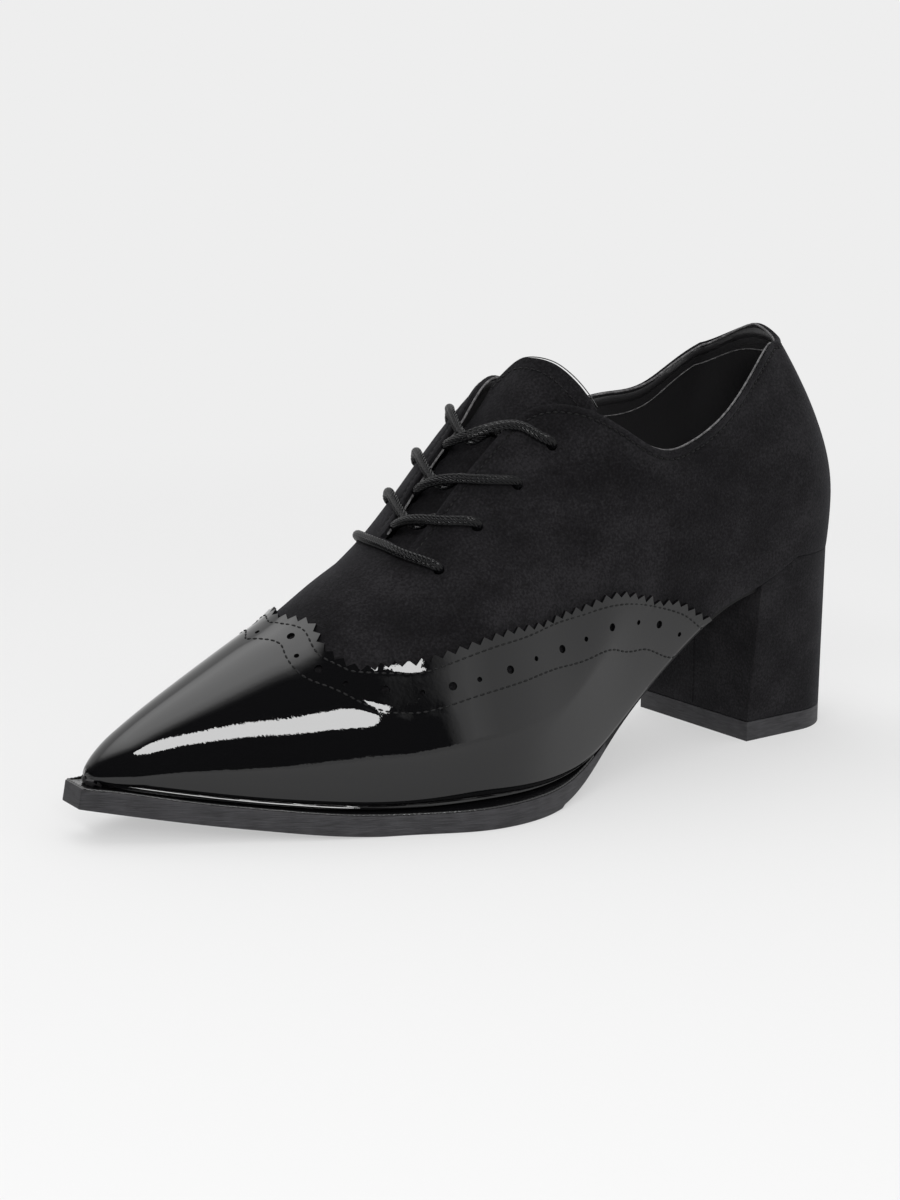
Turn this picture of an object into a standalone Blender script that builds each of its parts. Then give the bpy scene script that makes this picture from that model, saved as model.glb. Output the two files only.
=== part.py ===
"""Left lace-up oxford with a pointed toe and a covered block heel, in metres with +Z up."""

import math

import bmesh
import bpy
import numpy as np
from mathutils import Vector

MM = 0.001
GAP = 0.3

# The shoe is drawn in millimetres: x from the back of the heel to the toe, y to the outer side, z up.
TIP_X = 261.2
NOSE_X = 255.2
NOSE_START = 245.0
NOSE_DROP = 2.4
BACK_X = -1.2
BALL_OUTER = 50.2
BALL_INNER = -36.3
CENTRE_X = (BACK_X + TIP_X) / 2
CENTRE_Y = (BALL_OUTER + BALL_INNER) / 2

WALL = 1.8
CAP_WALL = 1.0
CAP_LIFT = 0.5
TUCK_TURN = math.radians(65)
FAN_X = 30.0
SEAT_BACK = 59.6
BACK_TOP = 129.2
THROAT_X = 165.0

# Sections of the last. feather, wide and ridge_z are heights of the lower edge, the widest line and the
# top; tuck is how far the lower edge turns in; crown moves the section from an ellipse (0) towards a
# gable (1) or a box (-1); edge is the angle from the ridge at which the upper stops at its collar or
# throat, and ahead of the throat the line that its columns follow.
LAST_COLUMNS = (
    "x", "feather", "wide", "lateral", "medial", "tuck", "ridge_y", "ridge_z",
    "crown_lateral", "crown_medial", "edge_lateral", "edge_medial",
)
LAST = (
    (30.0, 58.8, 76.0, 30.8, -30.0, 0.6, 0.0, 133.0, 0.0, 0.0, 30.5, 36.0),
    (45.0, 51.8, 74.0, 31.3, -30.3, 0.8, 0.0, 137.0, 0.0, 0.0, 48.0, 54.0),
    (60.0, 47.0, 70.0, 31.6, -29.8, 1.2, -0.5, 140.0, 0.0, 0.0, 60.2, 57.4),
    (75.0, 38.5, 64.0, 31.8, -28.5, 1.7, -1.5, 147.0, 0.0, 0.0, 65.9, 59.5),
    (90.0, 27.7, 56.0, 32.3, -27.0, 2.1, -3.0, 143.0, 0.0, 0.0, 60.8, 56.0),
    (105.0, 17.6, 46.0, 34.2, -26.3, 2.2, -4.5, 133.0, 0.3, -0.2, 39.4, 43.0),
    (120.0, 10.2, 36.0, 38.0, -27.3, 2.2, -5.0, 120.0, 0.8, -0.5, 21.2, 21.0),
    (135.0, 7.2, 27.0, 42.2, -29.4, 2.2, -5.0, 106.1, 0.8, -0.5, 17.3, 3.0),
    (150.0, 6.7, 21.0, 45.2, -31.4, 2.2, -4.0, 90.1, 0.5, -0.4, 15.8, 2.6),
    (165.0, 6.4, 19.0, 44.5, -32.7, 2.2, -2.5, 74.3, 0.3, -0.45, 15.0, 1.5),
    (180.0, 6.1, 17.5, 38.3, -32.7, 2.2, -3.5, 65.0, 0.2, -0.25, 14.0, 2.0),
    (195.0, 6.6, 16.5, 31.5, -31.2, 2.2, -5.0, 55.6, 0.0, -0.1, 12.0, 4.0),
    (210.0, 8.1, 16.5, 23.5, -28.8, 2.2, -6.5, 47.2, 0.0, 0.0, 11.0, 5.0),
    (225.0, 10.0, 17.0, 14.3, -25.6, 2.2, -8.0, 38.8, 0.0, 0.0, 10.0, 6.0),
    (240.0, 12.4, 17.5, 4.5, -21.4, 2.2, -9.5, 30.0, 0.0, 0.0, 9.0, 7.0),
    (255.2, 15.4, 16.4, -5.2, -16.8, 2.2, -11.0, 19.8, 0.0, 0.0, 8.0, 8.0),
)

# Back seam of the upper: how far forward it lies at each height.
BACK_COLUMNS = ("z", "x")
BACK = (
    (56.0, 0.2), (66.0, -0.9), (77.0, -1.2), (88.0, 1.2), (100.0, 6.7), (110.0, 12.4), (121.0, 18.6),
    (129.0, 21.6),
)


def natural_cubic(xs, ys):
    """Knots, values and second derivatives of the smooth cubic through the rows."""
    xs, ys = np.array(xs, float), np.array(ys, float)
    step = np.diff(xs)
    rise = np.diff(ys) / step
    system = np.diag(np.r_[1.0, 2 * (step[:-1] + step[1:]), 1.0])
    for i in range(1, len(xs) - 1):
        system[i, i - 1], system[i, i + 1] = step[i - 1], step[i]
    bend = np.linalg.solve(system, np.r_[0.0, 6 * np.diff(rise), 0.0])
    return xs, ys, bend


def splines(columns, rows):
    """A cubic per column, over the first column."""
    table = np.array(rows, float)
    return {name: natural_cubic(table[:, 0], table[:, i]) for i, name in enumerate(columns) if i}


def at(cubic, x):
    """Value of a cubic at x, held to its end rows."""
    xs, ys, bend = cubic
    x = min(max(x, xs[0]), xs[-1])
    i = min(max(int(np.searchsorted(xs, x)) - 1, 0), len(xs) - 2)
    h = xs[i + 1] - xs[i]
    b = (x - xs[i]) / h
    a = 1 - b
    curve = (a**3 - a) * bend[i] + (b**3 - b) * bend[i + 1]
    return float(a * ys[i] + b * ys[i + 1] + curve * h * h / 6)


LAST_CUBICS = splines(LAST_COLUMNS, LAST)
BACK_CUBICS = splines(BACK_COLUMNS, BACK)


def last(name, x):
    return at(LAST_CUBICS[name], x)


def nose_round(x):
    """1 along the shoe, falling to 0 round the nose."""
    reach = max(0.0, (x - NOSE_START) / (NOSE_X - NOSE_START))
    return math.sqrt(max(0.0, 1 - reach * reach))


def dome(reach, crown):
    """Height of the section, 0 to 1, at a reach of the half width, 0 to 1."""
    rest = max(0.0, 1 - reach * reach)
    return (1 - crown) * math.sqrt(rest) + crown * rest


def side_of(x, side):
    """Widest y, crown and edge angle of one side (+1 lateral, -1 medial)."""
    name = "lateral" if side > 0 else "medial"
    ridge_y = last("ridge_y", x)
    wide_y = ridge_y + (last(name, x) - ridge_y) * nose_round(x)
    return wide_y, last("crown_" + name, x), last("edge_" + name, x)


def surface(x, side, angle):
    """Outer face of the last at x: angle 0 is the ridge, 90 the widest line and 180 the feather line."""
    wide_y, crown, _ = side_of(x, side)
    ridge_y, wide, feather = last("ridge_y", x), last("wide", x), last("feather", x)
    ridge_z = last("ridge_z", x) - NOSE_DROP * (1 - nose_round(x))
    if angle <= 90:
        reach = math.sin(math.radians(angle))
        return x, ridge_y + (wide_y - ridge_y) * reach, wide + (ridge_z - wide) * dome(reach, crown)
    swing = TUCK_TURN * (angle - 90) / 90
    tuck = side * last("tuck", x) * nose_round(x) * (1 - math.cos(swing)) / (1 - math.cos(TUCK_TURN))
    return x, wide_y - tuck, wide - (wide - feather) * math.sin(swing) / math.sin(TUCK_TURN)


def heel_surface(turn, level, swing_share):
    """Outer face round the heel. turn is -90 medial, 0 back, 90 lateral; level 0 is the widest line and 1
    the topline, and swing_share 0 is the widest line and 1 the feather line."""
    side = 1 if turn >= 0 else -1
    along, across = math.cos(math.radians(turn)), abs(math.sin(math.radians(turn)))
    wide_y = side_of(FAN_X, side)[0]
    wide, ridge_z = last("wide", FAN_X), last("ridge_z", FAN_X)
    share = (turn + 90) / 180
    edge = math.radians(last("edge_medial", FAN_X) * (1 - share) + last("edge_lateral", FAN_X) * share)
    if swing_share > 0:
        feather = last("feather", FAN_X) * across + SEAT_BACK * (1 - across)
        swing = TUCK_TURN * swing_share
        half = abs(wide_y) - last("tuck", FAN_X) * (1 - math.cos(swing)) / (1 - math.cos(TUCK_TURN))
        z = wide - (wide - feather) * math.sin(swing) / math.sin(TUCK_TURN)
    else:
        side_top = wide + (ridge_z - wide) * math.cos(edge)
        top = side_top + (BACK_TOP - side_top) * along**2
        z = wide + (top - wide) * math.cos(math.pi / 2 - level * (math.pi / 2 - edge)) / math.cos(edge)
        half = abs(wide_y) * math.sqrt(max(0.0, 1 - ((z - wide) / (ridge_z - wide)) ** 2))
    return FAN_X - (FAN_X - at(BACK_CUBICS["x"], z)) * along, side * half * across, z


def put(point):
    """A drawn point in metres about the middle of the footprint."""
    return (point[0] - CENTRE_X) * MM, (point[1] - CENTRE_Y) * MM, point[2] * MM


def collection(name, hidden=False):
    made = bpy.data.collections.new(name)
    bpy.context.scene.collection.children.link(made)
    made.hide_render = hidden
    return made


def material(name, colour, roughness):
    made = bpy.data.materials.new(name)
    made.use_nodes = True
    shader = made.node_tree.nodes["Principled BSDF"]
    shader.inputs["Base Color"].default_value = (*colour, 1)
    shader.inputs["Roughness"].default_value = roughness
    return made


def add(name, points, faces, paint, where):
    """One mesh object from drawn points, welded where a nose or a tip closes."""
    mesh = bpy.data.meshes.new(name)
    mesh.from_pydata([put(p) for p in points], [], faces)
    shape = bmesh.new()
    shape.from_mesh(mesh)
    bmesh.ops.remove_doubles(shape, verts=shape.verts, dist=2e-6)
    shape.to_mesh(mesh)
    shape.free()
    mesh.materials.append(paint)
    made = bpy.data.objects.new(name, mesh)
    where.objects.link(made)
    return made


def strip(first, second):
    """Quads between two equal rows of point numbers."""
    return [(first[i], first[i + 1], second[i + 1], second[i]) for i in range(len(first) - 1)]


def grid_faces(rows, closed=False):
    """Quads over rows of point numbers, all rows alike."""
    faces = []
    for first, second in zip(rows, rows[1:]):
        faces += strip(first + first[:1], second + second[:1]) if closed else strip(first, second)
    return faces


def loft(rings):
    """Points and faces of a closed body through equal rings, with both ends capped."""
    count = len(rings[0])
    rows = [list(range(i * count, (i + 1) * count)) for i in range(len(rings))]
    faces = grid_faces(rows, closed=True) + [tuple(reversed(rows[0])), tuple(rows[-1])]
    return [p for ring in rings for p in ring], faces


def face_out(made):
    """Turns every face of a closed mesh outwards."""
    shape = bmesh.new()
    shape.from_mesh(made.data)
    bmesh.ops.recalc_face_normals(shape, faces=shape.faces)
    shape.to_mesh(made.data)
    shape.free()


def thicken(made, thickness, offset, even=True):
    shell = made.modifiers.new("wall", "SOLIDIFY")
    shell.thickness = thickness * MM
    shell.offset = offset
    shell.use_even_offset = even
    shell.use_quality_normals = True


for stale in list(bpy.data.objects):
    bpy.data.objects.remove(stale)
shoe = collection("oxford_shoe")
suede = material("suede", (0.018, 0.017, 0.019), 0.9)

# Upper: one sheet round the foot, rear strip first, then the vamp, thickened inwards.
LOW_STEPS, HIGH_STEPS, TAB_STEPS = 3, 9, 2
REAR_X = (165, 158, 150, 142, 135, 129, 124, 119, 114, 109, 104, 98, 91, 83, 75, 66, 56, 46, 38, 30)
FAN_TURNS = (75, 60, 45, 30, 15, 0, -15, -30, -45, -60, -75)
VAMP_X = (172, 180, 188, 196, 204, 212, 220, 228, 235, 240.5, 245, 249, 252, 254, 254.9, NOSE_X)


def column_angles(edge):
    """Angles of the columns from the feather line up to the top edge."""
    low = [180 - 90 * i / LOW_STEPS for i in range(LOW_STEPS)]
    return low + [90 - (90 - edge) * i / HIGH_STEPS for i in range(HIGH_STEPS + 1)]


def rear_rib(x, side):
    return [surface(x, side, angle) for angle in column_angles(side_of(x, side)[2])]


def heel_rib(turn):
    low = [heel_surface(turn, 0, 1 - i / LOW_STEPS) for i in range(LOW_STEPS)]
    return low + [heel_surface(turn, i / HIGH_STEPS, 0) for i in range(HIGH_STEPS + 1)]


def vamp_rib(x):
    shares = [i / TAB_STEPS for i in range(TAB_STEPS - 1, 0, -1)]
    outer = [surface(x, 1, share * side_of(x, 1)[2]) for share in shares]
    inner = [surface(x, -1, share * side_of(x, -1)[2]) for share in shares[::-1]]
    return rear_rib(x, 1) + outer + [surface(x, 1, 0)] + inner + rear_rib(x, -1)[::-1]


ribs = [rear_rib(x, 1) for x in REAR_X] + [heel_rib(turn) for turn in FAN_TURNS]
ribs += [rear_rib(x, -1) for x in reversed(REAR_X)]
arches = [vamp_rib(x) for x in (THROAT_X, *VAMP_X)]
points, rear_rows, vamp_rows = [], [], []
for rows, lines in ((rear_rows, ribs), (vamp_rows, arches)):
    for line in lines:
        rows.append(list(range(len(points), len(points) + len(line))))
        points += line
faces = [face[::-1] for face in grid_faces(rear_rows)] + grid_faces(vamp_rows)
upper = add("upper", points, faces, suede, shoe)
thicken(upper, WALL, -1, even=False)

# Outsole: outline, arch and toe spring as in the photo, standing out beyond the upper as a ledge.
SOLE_REAR, FLAT_REAR, FLAT_FRONT = 45.8, 146.0, 190.0
TOE_SPRING, SPRING_POWER = 9.8, 1.36
TIP_TOP, TIP_LEAN, NOSE_CLEAR = 15.6, 1.2, 0.5
PAD_X, PAD_STEP = 135.0, 0.7
SOLE_COLUMNS = ("x", "lateral", "medial")
SOLE = (
    (45.0, 28.8, -28.2), (60.0, 29.2, -27.6), (75.0, 29.4, -26.4), (90.0, 30.0, -25.0),
    (104.0, 32.8, -24.4), (116.0, 37.4, -25.4), (126.0, 42.0, -27.4), (136.0, 46.4, -29.9),
    (146.0, 49.4, -32.5), (157.0, 50.2, -34.9), (167.0, 48.2, -36.1), (182.0, 41.0, -36.2),
    (193.0, 36.0, -35.0), (205.0, 30.2, -32.8), (217.5, 22.4, -30.1), (229.0, 15.4, -27.0),
    (245.0, 5.1, -22.2), (261.2, -5.7, -16.2),
)
WAIST_COLUMNS = ("x", "bottom")
WAIST = (
    (45.0, 49.4), (56.0, 46.6), (66.0, 42.0), (75.0, 36.2), (84.0, 29.8), (94.0, 22.6), (104.0, 15.8),
    (113.0, 10.0), (120.0, 6.0), (128.0, 2.8), (136.0, 1.0), (146.0, 0.0),
)
SOLE_CUBICS = splines(SOLE_COLUMNS, SOLE)
WAIST_CUBICS = splines(WAIST_COLUMNS, WAIST)


def sole_bottom(x):
    if x < PAD_X:
        return at(WAIST_CUBICS["bottom"], x)
    if x < FLAT_REAR:
        return (at(WAIST_CUBICS["bottom"], PAD_X) - PAD_STEP) * ((FLAT_REAR - x) / (FLAT_REAR - PAD_X)) ** 2
    return TOE_SPRING * (max(0.0, x - FLAT_FRONT) / (TIP_X - FLAT_FRONT)) ** SPRING_POWER


def sole_top(x):
    nose = last("feather", min(x, NOSE_X)) - GAP - NOSE_CLEAR * (1 - nose_round(x))
    return nose + (TIP_TOP - nose) * max(0.0, x - NOSE_X) / (TIP_X - NOSE_X)


def sole_ring(x, bottom):
    outer, inner = at(SOLE_CUBICS["lateral"], x), at(SOLE_CUBICS["medial"], x)
    lean = TIP_LEAN * max(0.0, x - NOSE_X) / (TIP_X - NOSE_X)
    top = sole_top(x)
    return [(x, outer, bottom), (x - lean, outer, top), (x - lean, inner, top), (x, inner, bottom)]


rubber = material("sole_rubber", (0.045, 0.044, 0.05), 0.7)
stations = sorted({SOLE_REAR, PAD_X - 0.4, FLAT_REAR, FLAT_FRONT, TIP_X, *REAR_X, *VAMP_X})
rings = [sole_ring(x, sole_bottom(x)) for x in stations if x >= SOLE_REAR]
outsole = add("outsole", *loft(rings), rubber, shoe)
face_out(outsole)

# Heel: a covered block under the seat, and a flat rubber top-lift on the floor.
LIFT_HEIGHT, LIFT_HALF, LIFT_ROUND, BREAST_X = 6.2, 25.7, 21.8, 45.4
SEAT_INSET, HEEL_TOP_X = 0.2, -0.1
HEEL_LEVELS, HEEL_STEPS, HEEL_START = 5, 14, 0.006


def ellipse_half(depth, half, x):
    """Half width at x of a back that is a half ellipse of that depth, then straight."""
    short = max(0.0, (depth - x) / depth)
    return half * math.sqrt(max(0.0, 1 - short * short))


def seat_back():
    return at(BACK_CUBICS["x"], SEAT_BACK)


def seat_half(x, side, inset):
    """Distance of the feather line from the middle at x, less an inset all round."""
    outer = abs(surface(max(x, FAN_X), side, 180)[1]) - inset
    start = seat_back() + inset
    return ellipse_half(FAN_X - start, outer, x - start)


def seat_height(x):
    """Height of the feather line at x, the seat included."""
    if x >= FAN_X:
        return last("feather", x)
    across = seat_half(x, 1, 0) / seat_half(FAN_X, 1, 0)
    return last("feather", FAN_X) * across + SEAT_BACK * (1 - across)


def lift_ring(share, z):
    x = share * BREAST_X
    half = ellipse_half(LIFT_ROUND, LIFT_HALF, x)
    return x, half, z


def heel_ring(share):
    """Up the outer side and down the inner one, from the top-lift's outline to the seat's."""
    low_x, low_half, low_z = lift_ring(share, LIFT_HEIGHT + GAP)
    top_x = HEEL_TOP_X + share * (BREAST_X - HEEL_TOP_X)
    sides = []
    for side in (1, -1):
        widest = seat_half(max(top_x, FAN_X), side, SEAT_INSET)
        half = ellipse_half(FAN_X - HEEL_TOP_X, widest, top_x - HEEL_TOP_X)
        top = (top_x, side * half, seat_height(top_x) - GAP)
        low = (low_x, side * low_half, low_z)
        levels = [i / HEEL_LEVELS for i in range(HEEL_LEVELS + 1)]
        sides.append([tuple(a + (b - a) * v for a, b in zip(low, top)) for v in levels])
    return sides[0] + sides[1][::-1]


turns = [math.pi / 2 * i / HEEL_STEPS for i in range(HEEL_STEPS + 1)]
shares = [HEEL_START + (1 - HEEL_START) * (1 - math.cos(turn)) for turn in turns]
heel_block = add("heel_block", *loft([heel_ring(share) for share in shares]), suede, shoe)
face_out(heel_block)
rings = []
for share in shares:
    x, half, _ = lift_ring(share, 0)
    rings.append([(x, half, 0), (x, half, LIFT_HEIGHT), (x, -half, LIFT_HEIGHT), (x, -half, 0)])
top_lift = add("top_lift", *loft(rings), rubber, shoe)
face_out(top_lift)

# Insole: lies on the sole and the seat, inside the wall of the upper.
INSOLE_THICK, INSOLE_INSET = 2.4, WALL + 2 * GAP
INSOLE_BACK_X, INSOLE_END_X = (3.9, 4.8, 6.5, 9, 13, 18, 24), 250
rings = []
for x in (*INSOLE_BACK_X, *(x for x in sorted({*REAR_X, *VAMP_X}) if x <= INSOLE_END_X)):
    low = seat_height(x) + (GAP if x < SOLE_REAR else 0)
    outer, inner = (surface(max(x, FAN_X), side, 180)[1] - side * INSOLE_INSET for side in (1, -1))
    if x < FAN_X:
        outer, inner = (side * seat_half(x, side, INSOLE_INSET) for side in (1, -1))
    rings.append([(x, outer, low), (x, outer, low + INSOLE_THICK), (x, inner, low + INSOLE_THICK),
                  (x, inner, low)])
lining = material("lining", (0.012, 0.011, 0.012), 0.6)
insole = add("insole", *loft(rings), lining, shoe)
face_out(insole)


def outward(x, side, angle):
    """Unit vector square to the last's outer face."""
    step_x, step_a = 0.3, 0.4
    low, high = max(0.0, angle - step_a), angle + step_a
    along = Vector(surface(x, side, angle)) - Vector(surface(x - step_x, side, angle))
    up = Vector(surface(x, side, low)) - Vector(surface(x, side, high))
    return (up.cross(along) * side).normalized()


def lifted(x, angle, lift):
    """Point a lift above the last; a positive angle is on the outer side, a negative one on the inner."""
    side = 1 if angle >= 0 else -1
    return Vector(surface(x, side, abs(angle))) + outward(x, side, abs(angle)) * lift


# Tongue: a sheet under the throat, from below the vamp to a rounded top above the facings.
TONGUE_THICK, TONGUE_FOOT_X = 1.8, 177.0
TONGUE_FOOT_HALF, TONGUE_FOOT_Y, TONGUE_ROWS = 12.0, 2.0, 13
FOOT_DEPTH, LACE_DEPTH, TOP_DEPTH = WALL + GAP, 4.8, 2.7
LACE_FROM, LACE_TO = 0.16, 0.78
TONGUE_COLUMNS = ("y", "top_x")
TONGUE = (
    (-11.0, 121.5), (-9.4, 117.6), (-6.8, 115.3), (-3.0, 114.2), (2.0, 112.4), (6.6, 110.2), (11.0, 108.1),
    (15.6, 105.8), (20.4, 103.4),
)


def tongue_depth(share):
    """Depth below the last's face: under the vamp at the foot, clear of the lace, then free at the top."""
    if share < LACE_FROM:
        return FOOT_DEPTH + (LACE_DEPTH - FOOT_DEPTH) * math.sin(math.pi / 2 * share / LACE_FROM)
    rise = max(0.0, share - LACE_TO) / (1 - LACE_TO)
    return LACE_DEPTH + (TOP_DEPTH - LACE_DEPTH) * rise**2


def height(x, y):
    """Top of the last over a point of its plan."""
    ridge_y, wide = last("ridge_y", x), last("wide", x)
    wide_y, crown, _ = side_of(x, 1 if y >= ridge_y else -1)
    return wide + (last("ridge_z", x) - wide) * dome((y - ridge_y) / (wide_y - ridge_y), crown)


def under(x, y, depth):
    """Point a depth inside the last, square to its face."""
    step = 0.5
    slope_x = (height(x + step, y) - height(x - step, y)) / (2 * step)
    slope_y = (height(x, y + step) - height(x, y - step)) / (2 * step)
    face = Vector((-slope_x, -slope_y, 1)).normalized()
    return Vector((x, y, height(x, y))) - face * depth


rows, points = [], []
for i in range(TONGUE_ROWS + 1):
    share = i / TONGUE_ROWS
    rows.append([])
    for j, (top_y, top_x) in enumerate(TONGUE):
        foot_y = TONGUE_FOOT_Y + TONGUE_FOOT_HALF * (2 * j / (len(TONGUE) - 1) - 1)
        rows[-1].append(len(points))
        x = TONGUE_FOOT_X + (top_x - TONGUE_FOOT_X) * share
        points.append(under(x, foot_y + (top_y - foot_y) * share, tongue_depth(share)))
tongue = add("tongue", points, grid_faces(rows), suede, shoe)
thicken(tongue, TONGUE_THICK, -1)

# Wing cap: patent overlay on the vamp, a shell just above the upper, cut to the wing line.
WING_COLUMNS = ("angle", "x")
WING = (
    (0.0, 199.5), (8.0, 197.8), (14.0, 196.2), (18.5, 194.6), (27.0, 195.4), (35.0, 195.4), (46.5, 190.6),
    (49.5, 183.2), (51.8, 176.8), (52.8, 170.5), (53.8, 164.0), (55.2, 154.5), (57.0, 144.0), (59.0, 135.0),
    (61.5, 126.0), (70.0, 115.0), (82.0, 103.7), (94.0, 92.6), (104.0, 86.7), (114.0, 81.5), (126.0, 77.4),
    (140.0, 73.5), (160.0, 68.6),
)
WING_STEPS = 14
WING_LOW, CAP_RISE, CAP_SHARE = WING[-1][0], 1.6, 0.7


def cap_angle(x, angle):
    """Angle at x of one of the cap's columns; the last column runs a rise above the feather line."""
    if angle <= 90:
        return angle
    rise = min(CAP_RISE / (last("wide", x) - last("feather", x)), CAP_SHARE)
    low = 90 * math.asin(math.sin(TUCK_TURN) * (1 - rise)) / TUCK_TURN
    return 90 + low * (angle - 90) / (WING_LOW - 90)


def twin(x, angle):
    """Medial angle at the height of a lateral one."""
    if angle >= 90:
        return angle
    level = dome(math.sin(math.radians(angle)), side_of(x, 1)[1])
    low, high = 0.0, 90.0
    for _ in range(40):
        middle = (low + high) / 2
        if dome(math.sin(math.radians(middle)), side_of(x, -1)[1]) > level:
            low = middle
        else:
            high = middle
    return low


def wing_column(angle, start, side):
    """Points from the wing line to the nose along one angle, closer together round the nose."""
    stops = [start + (NOSE_START - start) * i / WING_STEPS for i in range(WING_STEPS)]
    stops += [x for x in VAMP_X if x >= NOSE_START]
    angles = [cap_angle(x, angle) for x in stops]
    return [surface(x, side, a if side > 0 else twin(x, a)) for x, a in zip(stops, angles)]


patent = material("patent", (0.006, 0.006, 0.007), 0.08)
lines = [wing_column(angle, x, -1) for angle, x in reversed(WING[1:])]
lines += [wing_column(angle, x, 1) for angle, x in WING]
rows = [list(range(i * len(lines[0]), (i + 1) * len(lines[0]))) for i in range(len(lines))]
wing_cap = add("wing_cap", [p for line in lines for p in line], grid_faces(rows), patent, shoe)
shape = bmesh.new()
shape.from_mesh(wing_cap.data)
shape.normal_update()
for corner in shape.verts:
    corner.co += corner.normal * CAP_LIFT * MM
shape.to_mesh(wing_cap.data)
shape.free()
thicken(wing_cap, CAP_WALL, 1, even=False)

# Eyelets: four plain punched pairs down the facings.
cutters = collection("cutters", hidden=True)
EYELET_COLUMNS = ("lateral_x", "lateral_angle", "medial_x", "medial_angle")
EYELETS = (
    (118.8, 32.1, 128.5, 37.0),
    (132.1, 30.7, 141.0, 34.0),
    (147.3, 29.7, 151.5, 32.0),
    (160.9, 29.3, 162.5, 31.0),
)
EYELET_RADIUS, EYELET_LONG, EYELET_SIDES = 1.7, 9.0, 12


def helper(made):
    """Keeps an object out of the render."""
    made.hide_render = True
    made.display_type = "WIRE"
    return made


shape = bmesh.new()
for outer_x, outer, inner_x, inner in EYELETS:
    for x, angle in ((outer_x, outer), (inner_x, -inner)):
        turn = Vector((0, 0, 1)).rotation_difference(lifted(x, angle, 1) - lifted(x, angle, 0)).to_matrix()
        place = turn.to_4x4()
        place.translation = put(lifted(x, angle, 0))
        bmesh.ops.create_cone(
            shape, cap_ends=True, segments=EYELET_SIDES, radius1=EYELET_RADIUS * MM,
            radius2=EYELET_RADIUS * MM, depth=EYELET_LONG * MM, matrix=place,
        )
mesh = bpy.data.meshes.new("eyelet_holes")
shape.to_mesh(mesh)
shape.free()
eyelet_holes = helper(bpy.data.objects.new("eyelet_holes", mesh))
cutters.objects.link(eyelet_holes)
punch = upper.modifiers.new("eyelets", "BOOLEAN")
punch.operation = "DIFFERENCE"
punch.solver = "EXACT"
punch.object = eyelet_holes

# Lace: a round waxed cord; three crossings and a straight bar over the tongue, clear of the facings.
LACE_RADIUS, LACE_CLEAR = 1.4, 0.55
REST = LACE_RADIUS + LACE_CLEAR
DIVE, OVER, BELOW = 0.7, 2.8, 0.9
CROSS_COLUMNS = ("pair", "bend_x", "bend_angle", "cross_x", "cross_angle", "dive_x")
CROSSINGS = (
    (0, 126.5, 20.5, 137.2, 7.6, 141.2),
    (1, 141.5, 22.0, 148.4, 8.2, 152.2),
    (2, 154.0, 20.5, 158.2, 7.8, 160.8),
)
BAR_COLUMNS = ("x", "angle")
BAR = ((160.9, 29.3), (165.2, 18.5), (167.0, 8.0), (167.0, -4.0), (165.4, -17.0), (162.5, -31.0))
wax = material("lace", (0.02, 0.02, 0.022), 0.45)


def cord(name, stops, where):
    """A round tube through lifted points of the last, with closed ends."""
    path = bpy.data.curves.new(name, "CURVE")
    path.dimensions = "3D"
    path.bevel_depth = LACE_RADIUS * MM
    path.bevel_resolution = 2
    path.use_fill_caps = True
    line = path.splines.new("POLY")
    line.points.add(len(stops) - 1)
    for point, stop in zip(line.points, stops):
        point.co = (*put(lifted(*stop)), 1)
    drawn = bpy.data.objects.new(name, path)
    mesh = bpy.data.meshes.new_from_object(drawn)
    bpy.data.objects.remove(drawn)
    shape = bmesh.new()
    shape.from_mesh(mesh)
    bmesh.ops.remove_doubles(shape, verts=shape.verts, dist=1e-6)
    bmesh.ops.recalc_face_normals(shape, faces=shape.faces)
    shape.to_mesh(mesh)
    shape.free()
    mesh.materials.clear()
    mesh.materials.append(wax)
    made = bpy.data.objects.new(name, mesh)
    where.objects.link(made)
    return made


def eased(stops, steps):
    """Smooth path through stops of x, angle and lift."""
    places = np.linspace(0, len(stops) - 1, steps)
    columns = [natural_cubic(range(len(stops)), column) for column in zip(*stops)]
    return [tuple(at(column, place) for column in columns) for place in places]


for number, (pair, bend_x, bend_angle, cross_x, cross_angle, dive_x) in enumerate(CROSSINGS, 1):
    outer_x, outer, inner_x, inner = EYELETS[pair]
    outer_edge = side_of(cross_x, 1)[2]
    over = [(outer_x, outer, REST), (bend_x, bend_angle, REST), (cross_x, cross_angle, OVER),
            (dive_x, 1.5, DIVE)]
    below = [(inner_x, -inner, REST), ((inner_x + cross_x) / 2, -0.4 * inner, REST),
             (cross_x, cross_angle, BELOW), (dive_x, outer_edge - 5, DIVE)]
    crossing = cord(f"lace_cross_{number}", eased(over, 13), shoe)
    strand = helper(cord(f"lace_under_{number}", eased(below, 13), cutters))
    join = crossing.modifiers.new("join", "BOOLEAN")
    join.operation = "UNION"
    join.solver = "EXACT"
    join.object = strand
cord("lace_bar", eased([(x, angle, REST) for x, angle in BAR], 13), shoe)
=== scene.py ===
"""Dresses the left pointed oxford: suede upper, patent wing, waxed lace, ledge sole and covered heel."""

import bisect
import math

import bmesh
import bpy
import numpy as np
from mathutils import Matrix, Vector
from mathutils.geometry import delaunay_2d_cdt
from mathutils.kdtree import KDTree


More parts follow.
